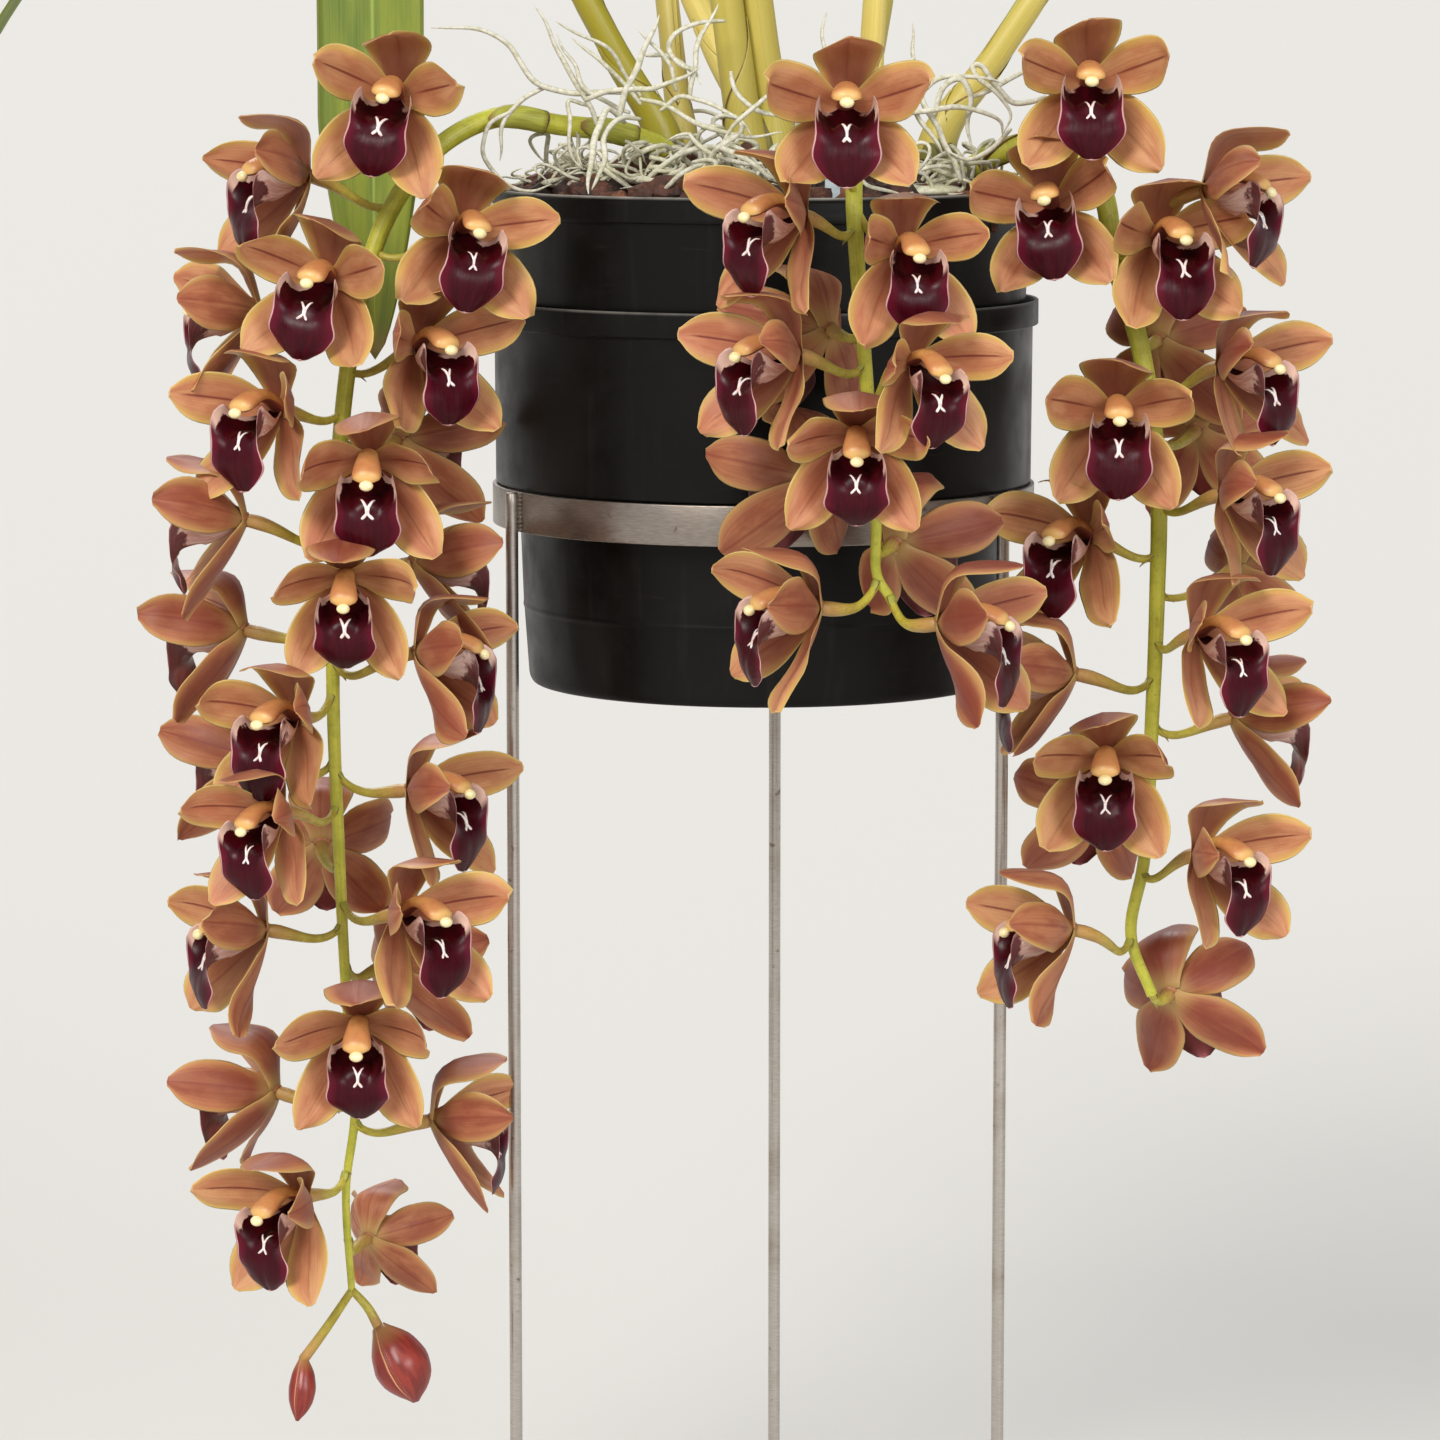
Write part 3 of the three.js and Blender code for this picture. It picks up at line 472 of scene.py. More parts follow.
def makeStand(ringSteel, rodSteel):
    top, low = stand["ringTop"], stand["ringTop"] - stand["ringHeight"]
    shape = Shape()
    inner, outer = stand["ringRadius"] - stand["thickness"], stand["ringRadius"]
    addLathe(shape, roundedBar(inner, outer, low, top, stand["edge"]), 192, 0)
    draw = random.Random(5)
    bead, face = stand["bead"], stand["ringRadius"] + 0.5
    for angle in stand["rods"].values():
        turn = math.radians(angle)
        for side in (-1, 1):
            # the weld runs down beside the rod as a row of beads
            for k in range(stand["beads"]):
                height = low + bead + (stand["ringHeight"] - 2 * bead) * k / (stand["beads"] - 1)
                spin = turn + side * (2.5 + 0.4 * draw.random()) / stand["ringRadius"]
                centre = np.array([math.cos(spin) * face, math.sin(spin) * face, height])
                addBlob(shape, centre, (bead, bead, 1.1 + 0.3 * draw.random()), 0, 8, 5)
    ring = shape.makeObject("standRing", [ringSteel], 35)
    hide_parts("stand_ring")
    made = [ring]
    for name, angle in stand["rods"].items():
        turn = math.radians(angle)
        foot = np.array([math.cos(turn), math.sin(turn), 0]) * stand["rodCircle"]
        heights = [0, 0.15, 0.6, *np.linspace(6, top - 6, 24), top - 0.6, top - 0.15, top]
        line = np.array([foot + (0, 0, h) for h in heights])
        radii = np.full(len(line), float(stand["rodRadius"]))
        radii[[0, -1]] -= 0.6
        radii[[1, -2]] -= 0.25
        rod = Shape()
        addTube(rod, tubeGrid(line, radii, 28, (1, 0, 0)), 0)
        piece = rod.makeObject("standLeg" + name.capitalize(), [rodSteel], 40)
        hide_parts("stand_leg_" + name)
        made.append(piece)
    for piece in made:
        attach(piece, "root")


def addBlob(shape, centre, radii, kind, around=10, rows=6, values=None, turn=None):
    # a closed ovoid; turn carries its own axes into place
    polar = np.linspace(0, math.pi, rows + 1)[1:-1]
    angle = roundAngles(around)
    ring = np.stack([np.outer(np.sin(polar), np.cos(angle)), np.outer(np.sin(polar), np.sin(angle)),
                     np.outer(-np.cos(polar), np.ones(around))], axis=-1)
    points = np.vstack([ring.reshape(-1, 3), [(0, 0, -1)], [(0, 0, 1)]]) * radii
    if turn is not None:
        points = points @ turn.T
    held = {"along": np.concatenate([np.repeat(polar / math.pi, around), [0, 1]])}
    held.update(values or {})
    shape.add(points + centre, closedRings(len(polar), around), kind, held)


# Pots: one black nursery pot inside another, each with an outward lip

outerPot = {"wall": 1.8, "floor": 503.6, "floorRadius": 112, "waist": 118.4, "shoulder": 129.3,
            "shoulderHeight": 600.3, "lip": 132.5, "lipHeight": 12, "rim": 688.7, "ridge": 541}
innerPot = {"wall": 1.8, "floor": 505.7, "floorRadius": 104, "mouth": 126.4, "mouthHeight": 688.7,
            "neck": 127.8, "lip": 130.5, "lipHeight": 12, "rim": 741.7}
drain = {"count": 6, "radius": 5, "circle": 78}


def potMaterial(name, rim, dusty):
    material, tree, shader = newMaterial(name, Roughness=0.5, Specular_IOR_Level=0.18)
    where = place(tree)
    height = makeNode(tree, "ShaderNodeSeparateXYZ", Vector=where).outputs["Z"]
    scuffs = noise(tree, place(tree, (30, 30, 420)), 1, 4, 0.6)
    runs = noise(tree, place(tree, (130, 130, 9)), 1, 4, 0.6)
    cloud = noise(tree, where, 26, 5, 0.6)
    base = blend(tree, band(tree, cloud, 0.35, 0.7), rgb(7, 7, 6), rgb(13, 12, 11))
    base = blend(tree, times(tree, band(tree, runs, 0.54, 0.74), 0.2), base, rgb(44, 40, 36))
    base = blend(tree, times(tree, band(tree, scuffs, 0.62, 0.76), 0.16), base, rgb(58, 54, 50))
    dust = times(tree, band(tree, height, (rim - 1.6) * mm, (rim - 0.1) * mm),
                 band(tree, cloud, 0.3, 0.6, 0.35, 1))
    base = blend(tree, times(tree, dust, dusty), base, rgb(150, 146, 138))
    dress(tree, shader, base, plus(tree, cloud, scuffs), 0.12, 0.0006, band(tree, cloud, 0.3, 0.7, 0.3, 0.5))
    return material


def fillet(outline, sizes, steps=3):
    # rounds each corner of a closed outline by its own size
    made = []
    count = len(outline)
    for i, (corner, size) in enumerate(zip(outline, sizes)):
        here = np.asarray(corner, float)
        if size == 0:
            made.append(here)
            continue
        before = np.asarray(outline[i - 1], float) - here
        after = np.asarray(outline[(i + 1) % count], float) - here
        start = here + unit(before) * min(size, np.linalg.norm(before) * 0.45)
        end = here + unit(after) * min(size, np.linalg.norm(after) * 0.45)
        for k in range(steps + 1):
            t = k / steps
            made.append((1 - t) ** 2 * start + 2 * t * (1 - t) * here + t ** 2 * end)
    return made


def makePot(name, outline, sizes, turn, material, nodeName):
    shape = Shape()
    addLathe(shape, fillet(outline, sizes), 160, 0)
    pot = shape.makeObject(name, [material], 42)
    cutters = Shape()
    for k in range(drain["count"]):
        angle = turn + 2 * math.pi * k / drain["count"]
        middle = np.array([math.cos(angle), math.sin(angle), 0]) * drain["circle"]
        foot = middle + (0, 0, outerPot["floor"] - 6)
        line = np.array([foot, foot + (0, 0, 20)])
        addTube(cutters, tubeGrid(line, [drain["radius"]] * 2, 24, (1, 0, 0)), 0)
    cutter = cutters.makeObject(name + "Holes", [material])
    cut = pot.modifiers.new("drainHoles", "BOOLEAN")
    cut.operation = "DIFFERENCE"
    cut.object = cutter
    bakeModifiers(pot)
    bpy.data.objects.remove(cutter)
    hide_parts(nodeName)
    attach(pot, "root")


def finalMesh(piece):
    return bpy.data.meshes.new_from_object(piece.evaluated_get(bpy.context.evaluated_depsgraph_get()))


def bakeModifiers(piece):
    mesh = finalMesh(piece)
    mesh.name = piece.name
    piece.modifiers.clear()
    piece.data = mesh


def makePots():
    p = outerPot
    wall, foot, floor, waist, shoulder, edge, rim = (
        p[key] for key in ("wall", "floorRadius", "floor", "waist", "shoulder", "lip", "rim"))
    ridge, step, lipBase = p["ridge"], p["shoulderHeight"], rim - p["lipHeight"]
    outline = [
        (0, floor), (foot, floor), (foot + 1.6, floor + 3), (foot + 3.9, ridge - 1.6), (foot + 4.5, ridge),
        (foot + 4.2, ridge + 1.6), (waist, step), (shoulder, step), (shoulder + 0.5, lipBase),
        (edge, lipBase), (edge, rim), (edge - wall, rim), (shoulder - wall + 0.5, lipBase),
        (shoulder - wall, step + wall), (waist - wall, step + wall), (foot - wall + 1.6, floor + 5),
        (foot - wall, floor + wall), (0, floor + wall)]
    sizes = [0, 1.2, 2, 1, 0.8, 1, 1.5, 1.6, 1, 0.7, 0.8, 0.8, 2, 1, 1, 2, 1, 0]
    makePot("outerPot", outline, sizes, 0, potMaterial("outerPotPlastic", rim, 0.45), "outer_pot")
    p = innerPot
    wall, foot, floor, mouth, neck, edge, rim = (
        p[key] for key in ("wall", "floorRadius", "floor", "mouth", "neck", "lip", "rim"))
    step, lipBase = p["mouthHeight"], rim - p["lipHeight"]
    outline = [
        (0, floor), (foot, floor), (mouth, step), (neck, lipBase), (edge - 0.3, lipBase),
        (edge, lipBase + 1.2), (edge - 0.3, rim - 2.2), (edge, rim - 1.2), (edge, rim), (edge - wall, rim),
        (neck - wall, lipBase), (mouth - wall, step), (foot - wall, floor + wall), (0, floor + wall)]
    sizes = [0, 1.5, 1.5, 1, 0.2, 0.6, 0.8, 0.6, 0.6, 0.8, 2, 1, 1.5, 0]
    turn = math.pi / drain["count"]
    makePot("innerPot", outline, sizes, turn, potMaterial("innerPotPlastic", rim, 0.95), "inner_pot")


# the rods' steel is painted lighter than the ring's, a painted highlight for the brighter reflections the
# round rods catch
makeStand(steelMaterial("ringSteel", rgb(142, 132, 123), rgb(162, 153, 144)),
          steelMaterial("rodSteel", rgb(178, 171, 163), rgb(196, 190, 182)))
makePots()
print("stand and pots made")


# Bark: a dark mound in the inner pot, with chips of bark and lava scattered over its crown

bark = {"edge": 735, "crown": 21, "reach": 127.8, "spread": 118, "spacing": 0.0115, "sizeLow": 0.8,
        "sizeHigh": 1.55, "kinds": 8, "seed": 12}


def crownHeight(radius):
    return bark["edge"] + bark["crown"] * (1 - (radius / bark["reach"]) ** 2)


def barkMaterial():
    material, tree, shader = newMaterial("barkChips", Roughness=0.85)
    where = place(tree)
    tone = value(tree, "tone")
    grain = noise(tree, where, 300, 6, 0.7)
    cloud = noise(tree, where, 70, 4, 0.6)
    layers = noise(tree, place(tree, (1, 1, 3)), 150, 3, 0.6)
    base = blend(tree, tone, rgb(66, 40, 32), rgb(104, 62, 46))
    base = blend(tree, band(tree, tone, 0.8, 0.86), base, rgb(150, 90, 64))
    base = blend(tree, band(tree, cloud, 0.36, 0.6), rgb(42, 28, 24), base)
    base = blend(tree, band(tree, layers, 0.54, 0.66, 0, 0.4), base, rgb(132, 84, 62))
    base = blend(tree, band(tree, grain, 0.58, 0.74, 0, 0.5), base, rgb(158, 116, 90))
    base = blend(tree, band(tree, grain, 0.34, 0.44, 0.7, 0), base, rgb(24, 17, 14))
    dress(tree, shader, base, plus(tree, grain, times(tree, cloud, 1.5)), 0.7, 0.0011,
          band(tree, grain, 0.3, 0.7, 0.92, 0.62))
    return material


def makeChip(name, seed, material):
    # a broken flake: a ball flattened, then sliced by a few random planes
    draw = np.random.default_rng(seed)
    shape = Shape()
    addBlob(shape, np.zeros(3), (1, 1, 1), 0, 9, 6)
    chip = shape.makeObject(name, [material], None, 1.0, np.zeros(3))
    points = np.array([v.co for v in chip.data.vertices])
    for k in range(9):
        cut = unit(draw.normal(size=3))
        depth = 0.5 + 0.3 * draw.random()
        over = np.maximum(points @ cut - depth, 0)
        points = points - np.outer(over, cut)
    lumps = 0.06 * np.sin(points @ draw.normal(size=(3, 3)) * 5).sum(1)
    sizes = (9.5 + 1.5 * draw.random(), 7.4 + 1.5 * draw.random(), 4.6 + 2.2 * draw.random())
    points = points * (1 + lumps[:, None]) * sizes * mm
    chip.data.vertices.foreach_set("co", points.astype(np.float32).ravel())
    for face in chip.data.polygons:
        face.use_smooth = False
    return chip


def newTree(name, inputs):
    tree = bpy.data.node_groups.new(name, "GeometryNodeTree")
    tree.interface.new_socket(name="Geometry", in_out="INPUT", socket_type="NodeSocketGeometry")
    sockets = {}
    for label, kind in inputs.items():
        sockets[label] = tree.interface.new_socket(name=label, in_out="INPUT", socket_type=kind).identifier
    tree.interface.new_socket(name="Geometry", in_out="OUTPUT", socket_type="NodeSocketGeometry")
    return tree, tree.nodes.new("NodeGroupInput"), tree.nodes.new("NodeGroupOutput"), sockets


def randomValue(tree, kind, low, high, seed):
    node = makeNode(tree, "FunctionNodeRandomValue", {"data_type": kind}, Seed=seed)
    first = {"FLOAT_VECTOR": 0, "FLOAT": 2, "INT": 4}[kind]
    wire(tree, low, node.inputs[first])
    wire(tree, high, node.inputs[first + 1])
    return node.outputs[first // 2]


def storeNamed(tree, geometry, domain, name, given):
    return makeNode(tree, "GeometryNodeStoreNamedAttribute", {"data_type": "FLOAT", "domain": domain},
                    Geometry=geometry, Name=name, Value=given).outputs["Geometry"]


def finishTree(tree, geometry, source, result):
    # makes the instances real and gives all of it the finish
    real = makeNode(tree, "GeometryNodeRealizeInstances", Geometry=geometry).outputs["Geometry"]
    finish = makeNode(tree, "GeometryNodeSetMaterial", Geometry=real, Material=source.outputs["Finish"])
    wire(tree, finish.outputs["Geometry"], result.inputs["Geometry"])


def scatterTree(name):
    # chips, or tufts of strands, over a surface: evenly spaced points, each with one of the kinds
    tree, source, result, sockets = newTree(name, {
        "Spacing": "NodeSocketFloat", "Smallest": "NodeSocketFloat", "Largest": "NodeSocketFloat",
        "Tilt": "NodeSocketFloat", "Kinds": "NodeSocketCollection", "Finish": "NodeSocketMaterial",
        "Seed": "NodeSocketInt"})
    given = source.outputs
    spread = makeNode(tree, "GeometryNodeDistributePointsOnFaces", {"distribute_method": "POISSON"},
                      Mesh=given["Geometry"], Distance_Min=given["Spacing"], Density_Max=60000,
                      Seed=given["Seed"])
    kinds = makeNode(tree, "GeometryNodeCollectionInfo", Collection=given["Kinds"], Separate_Children=True,
                     Reset_Children=True)
    # each leans a little either way and is turned any way about the upright
    tilt = given["Tilt"]
    back = times(tree, tilt, -1)
    low, high = combine(tree, back, back, 0), combine(tree, tilt, tilt, 6.283)
    turn = randomValue(tree, "FLOAT_VECTOR", low, high, 8)
    put = makeNode(tree, "GeometryNodeInstanceOnPoints", Points=spread.outputs["Points"],
                   Instance=kinds.outputs["Instances"], Pick_Instance=True, Rotation=turn,
                   Instance_Index=randomValue(tree, "INT", 0, 99, 4),
                   Scale=randomValue(tree, "FLOAT", given["Smallest"], given["Largest"], 3))
    tone = randomValue(tree, "FLOAT", 0.0, 1.0, 5)
    toned = storeNamed(tree, put.outputs["Instances"], "INSTANCE", "tone", tone)
    join = makeNode(tree, "GeometryNodeJoinGeometry")
    for part in (toned, given["Geometry"]):
        wire(tree, part, join.inputs[0])
    finishTree(tree, join.outputs[0], source, result)
    return tree, sockets


def runNodes(piece, tree, sockets, settings):
    modifier = piece.modifiers.new("nodes", "NODES")
    modifier.node_group = tree
    for label, given in settings.items():
        modifier[sockets[label]] = given
    piece.update_tag()
    bpy.context.view_layer.update()


def makeBark():
    material = barkMaterial()
    kinds = bpy.data.collections.new("barkKinds")
    for k in range(bark["kinds"]):
        chip = makeChip(f"chip{k}", 40 + k, material)
        kinds.objects.link(chip)
        scene.collection.objects.unlink(chip)
    inside = innerPot["wall"] + 1.3
    floor = innerPot["floor"] + innerPot["wall"] + 0.3
    shape = Shape()
    crown = [(r, crownHeight(r) - 4) for r in np.linspace(innerPot["neck"] - inside, 0, 12)]
    outline = [(0, floor), (innerPot["floorRadius"] - inside, floor),
               (innerPot["mouth"] - inside, innerPot["mouthHeight"]),
               (innerPot["neck"] - inside, crown[0][1] - 1), *crown]
    addLathe(shape, outline, 64, 0, {"tone": 0.1})
    bed = shape.makeObject("barkBed", [material], 40)
    # chips go on the crown alone
    top = Shape()
    rim = bark["spread"]
    crown = [(r, crownHeight(r) - 1) for r in np.linspace(rim + 1, 0, 10)]
    addLathe(top, [(0, crownHeight(0) - 5), (rim, crownHeight(rim) - 5), *crown], 48, 0)
    scatter = top.makeObject("chips", [material])
    tree, sockets = scatterTree("scatterOver")
    settings = {"Spacing": bark["spacing"], "Smallest": bark["sizeLow"], "Largest": bark["sizeHigh"],
                "Tilt": 0.75, "Kinds": kinds, "Finish": material, "Seed": bark["seed"]}
    runNodes(scatter, tree, sockets, settings)
    bakeModifiers(scatter)
    joinInto(bed, [scatter])
    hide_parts("bark_bed")
    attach(bed, "root")
    for chip in list(kinds.objects):
        bpy.data.objects.remove(chip)
    bpy.data.collections.remove(kinds)
    return tree, sockets


def joinInto(piece, others):
    with bpy.context.temp_override(active_object=piece, object=piece, selected_objects=[piece, *others],
                                   selected_editable_objects=[piece, *others]):
        bpy.ops.object.join()


scatterNodes, scatterSockets = makeBark()
print("bark made")


# Growths: a pseudobulb and a fan of strap leaves, laid out as the solids are

growths = {
    "growth_left": {"x": -48, "y": 0, "heading": 184, "tilt": 29, "arch": 1.2, "length": 480, "pale": 0.05},
    "growth_front": {"x": -2, "y": -24, "heading": 214, "tilt": 9, "arch": 0.5, "length": 550, "pale": 0.4,
                     "stems": [-8.6, 8.6]},
    "growth_front_right": {"x": 49, "y": -10, "heading": 290, "tilt": 9, "arch": 0.6, "length": 540,
                           "pale": 0.95},
    "growth_right": {"x": 84, "y": 2, "heading": 2, "tilt": 34, "arch": 0.8, "length": 520, "pale": 0.5},
    "growth_back_right": {"x": 46, "y": 54, "heading": 50, "tilt": 16, "arch": 0.95, "length": 540,
                          "pale": 0.3},
    "growth_back_left": {"x": -40, "y": 66, "heading": 112, "tilt": 16, "arch": 0.95, "length": 540,
                         "pale": 0.6},
    "growth_centre": {"x": -2, "y": 34, "heading": 158, "tilt": 27, "arch": 0.5, "length": 560, "pale": 0.85},
}
leaf = {"thick": 0.9, "width": 40, "base": 762, "taper": 0.26, "spacing": 1.6, "baseFan": 0.8, "fan": 9,
        "rows": 46, "cols": 13, "bend": (0.1, 1.0), "parting": (0.14, 0.42), "narrow": 0.24, "closed": 76,
        "open": 14, "crease": 0.1}
creasedLeaf = {"x": -54, "y": 10, "heading": 179, "foot": 23, "lean": 1.5, "droop": 180, "length": 754,
               "width": 54, "twist": -84, "bend": (0.362, 0.518), "parting": (0.1, 0.4), "rows": 96,
               "taper": 0.15, "pale": 0.5}
bulb = {"radius": 10.5, "height": 42, "foot": 733.3,
        "profile": [(0, 0.8), (0.12, 0.93), (0.38, 1), (0.74, 0.78), (1, 0.42)],
        "sheath": [(0, 0.86), (0.3, 1.04), (0.7, 0.9), (1, 0.86)]}
# the feet of the leaves roll round each other into a stem; two shorter leaf bases clasp it
stem = {"radius": 6.5, "reach": 104, "flat": 0.86, "rings": 30, "sides": 20,
        "profile": [(0, 1.5), (0.12, 1.42), (0.3, 1.06), (0.75, 1.0), (0.93, 0.8), (1, 0.55)]}
clasps = [{"reach": 78, "turn": 0.5}, {"reach": 46, "turn": 3.4}]


def steadyDraw(seed):
    # the same repeatable draws as the solids use
    state = [seed]

    def draw():
        state[0] = (state[0] * 1664525 + 1013904223) % 4294967296
        return state[0] / 4294967296
    return draw


def leafMaterial():
    material, tree, shader = newMaterial("leafBlade", Roughness=0.4, Subsurface_Weight=0.05,
                                         Subsurface_Scale=0.004)
    along, across, side, tone = (value(tree, name) for name in ("along", "across", "side", "tone"))
    outward = absolute(tree, across)
    veins = streaked(tree, across, 42, along, 3, times(tree, tone, 40), 2)
    wide = streaked(tree, across, 2, along, 6, times(tree, tone, 70), 4)
    spots = noise(tree, place(tree), 260, 3, 0.6)
    base = blend(tree, tone, rgb(106, 122, 34), rgb(138, 148, 50))
    base = blend(tree, band(tree, wide, 0.36, 0.68, 0, 0.8), base, rgb(76, 104, 30))
    base = blend(tree, band(tree, veins, 0.42, 0.6, 0, 0.2), base, rgb(142, 160, 66))
    base = blend(tree, band(tree, outward, 0.0, 0.05, 0.55, 0), base, rgb(166, 186, 92))
    base = blend(tree, band(tree, outward, 0.95, 0.99, 0, 0.6), base, rgb(190, 200, 118))
    # the foot of a blade is yellow, and turns green a hand's width above the bark
    foot = blend(tree, value(tree, "pale"), rgb(150, 138, 24), rgb(238, 214, 122))
    foot = blend(tree, band(tree, veins, 0.4, 0.62, 0, 0.3), foot, rgb(150, 144, 40))
    dry = times(tree, band(tree, outward, 0.9, 0.97), band(tree, along, 0.13, 0.1))
    foot = blend(tree, dry, foot, rgb(138, 98, 54))
    base = blend(tree, band(tree, plus(tree, along, times(tree, wide, 0.12)), 0.44, 0.16), base, foot)
    brown = times(tree, band(tree, spots, 0.66, 0.72), band(tree, wide, 0.52, 0.64, 0.03, 0.7))
    base = blend(tree, brown, base, rgb(112, 72, 34))
    base = blend(tree, band(tree, along, 0.972, 1.0, 0, 0.85), base, rgb(140, 108, 62))
    base = blend(tree, times(tree, side, 0.25), base, rgb(136, 158, 80))
    dress(tree, shader, base, veins, 0.25, 0.0004, band(tree, wide, 0.3, 0.7, 0.34, 0.5))
    return material


def bulbMaterial():
    material, tree, shader = newMaterial("bulbSkin", Roughness=0.5)
    along, across, tone = (value(tree, name) for name in ("along", "across", "tone"))
    fibres = streaked(tree, across, 34, along, 3, tone)
    cloud = noise(tree, place(tree), 80, 4)
    base = blend(tree, band(tree, cloud, 0.4, 0.65), rgb(112, 116, 44), rgb(82, 78, 36))
    base = blend(tree, band(tree, fibres, 0.42, 0.64, 0, 0.5), base, rgb(140, 112, 66))
    base = blend(tree, band(tree, along, 0.35, 0.0, 0, 0.85), base, rgb(74, 50, 34))
    dress(tree, shader, base, fibres, 0.45, 0.0007)
    return material


def addStrapLeaf(shape, spec, tone, wave):
    rows, cols = spec.get("rows", leaf["rows"]), leaf["cols"]
    heading = math.radians(spec["heading"])
    outward = np.array([math.cos(heading), math.sin(heading), 0])
    upward = np.array([0, 0, 1.0])
    s = np.linspace(0, 1, rows + 1)
    low, high = spec.get("bend", leaf["bend"])

    def angleAt(way):
        parted = (spec["lean"] - spec["foot"]) * smooth(way, *spec.get("parting", leaf["parting"]))
        return np.radians(spec["foot"] + parted + (spec["droop"] - spec["lean"]) * smooth(way, low, high))
    fine = (s[:-1] + s[1:]) / 2
    ways = np.sin(angleAt(fine))[:, None] * outward + np.cos(angleAt(fine))[:, None] * upward
    steps = ways * spec["length"] / rows
    spine = np.vstack([[0, 0, 0], np.cumsum(steps, axis=0)]) + (spec["x"], spec["y"], leaf["base"])
    along = np.sin(angleAt(s))[:, None] * outward + np.cos(angleAt(s))[:, None] * upward
    normal = np.cross(np.cross(outward, upward), along)
    across = np.cross(along, normal)
    twist = np.radians(spec["twist"]) * smooth(s, 0.2, 0.7)
    normal, across = twisted(normal, across, twist)
    widening = leaf["narrow"] + (1 - leaf["narrow"]) * smooth(s, 0.15, 0.5)
    narrowing = (np.maximum(1 - s, 0) / spec.get("taper", leaf["taper"])) ** 0.6
    half = spec["width"] / 2 * np.minimum(widening, narrowing)
    fold = np.radians(leaf["closed"] + (leaf["open"] - leaf["closed"]) * smooth(s, 0.15, 0.5))
    a = np.linspace(-1, 1, cols)
    # a keeled section: two flat wings with a soft crease between them
    crease = leaf["crease"]
    rise = np.sqrt(a ** 2 + crease ** 2) - crease
    slope = a / np.sqrt(a ** 2 + crease ** 2)
    x = half[:, None] * a[None, :] * np.cos(fold)[:, None]
    z = half[:, None] * rise[None, :] * np.sin(fold)[:, None]
    swing = 2 * math.pi * (wave["count"] * s[:, None] + wave["phase"]) + math.pi * (a[None, :] > 0)
    ripple = wave["size"] * np.abs(a[None, :]) ** 3 * np.sin(swing)
    grid = overSpine(spine, across, normal, x, z + ripple * smooth(s, 0.1, 0.3)[:, None])
    climb = (slope[None, :] * np.sin(fold)[:, None])[..., None]
    tangent = across[:, None] * np.cos(fold)[:, None, None] + normal[:, None] * climb
    face = unit(np.cross(tangent, along[:, None] + 0 * tangent))
    face = face * np.sign((face * normal[:, None]).sum(-1))[..., None]
    thick = leaf["thick"] * (1.6 - 0.8 * s[:, None]) * np.maximum(1 - np.abs(a[None, :]) ** 4, 0.1)
    thick = thick + 0.9 * np.exp(-(a[None, :] / 0.08) ** 2) * (1 - s[:, None])
    held = {"along": s[:-1, None], "across": a[None, :], "tone": tone, "pale": spec["pale"]}
    addShell(shape, grid[:-1], face[:-1], thick[:-1], 0, held, tip=spine[-1])


def addBulb(shape, x, y, draw):
    rows, sides = 14, 24
    s = np.linspace(0, 1, rows)
    line = np.stack([np.full(rows, x), np.full(rows, y), bulb["foot"] + s * bulb["height"]], axis=1)
    radii = bulb["radius"] * profile(s, bulb["profile"])

    def ribs(angle, way):
        return 1 + 0.05 * np.cos(8 * angle) * (1 - way) ** 0.5
    addTube(shape, tubeGrid(line, radii, sides, (1, 0, 0), ribs), 1)
    # two short dry sheaths still cling to the bulb
    for k in range(2):
        turn = draw.random() * fullTurn
        reach = np.linspace(0, 1, 12)
        a = np.linspace(-1, 1, 9)
        wrap = (1.3 - 1.1 * reach[:, None] ** 1.5) * a[None, :] + turn
        radius = bulb["radius"] * profile(reach, bulb["sheath"])[:, None] + 0.9 + 0.5 * k + 0 * a
        height = bulb["foot"] + 3 + reach[:, None] * (bulb["height"] * (0.5 + 0.14 * k)) + 0 * a
        front = np.stack([x + radius * np.cos(wrap), y + radius * np.sin(wrap), height], axis=-1)
        face = np.stack([np.cos(wrap), np.sin(wrap), 0 * wrap], axis=-1)
        held = {"along": 0.3 + 0.7 * reach[:, None], "across": a[None, :], "tone": turn}
        addShell(shape, front, face, np.full(front.shape[:2], 0.5), 1, held)


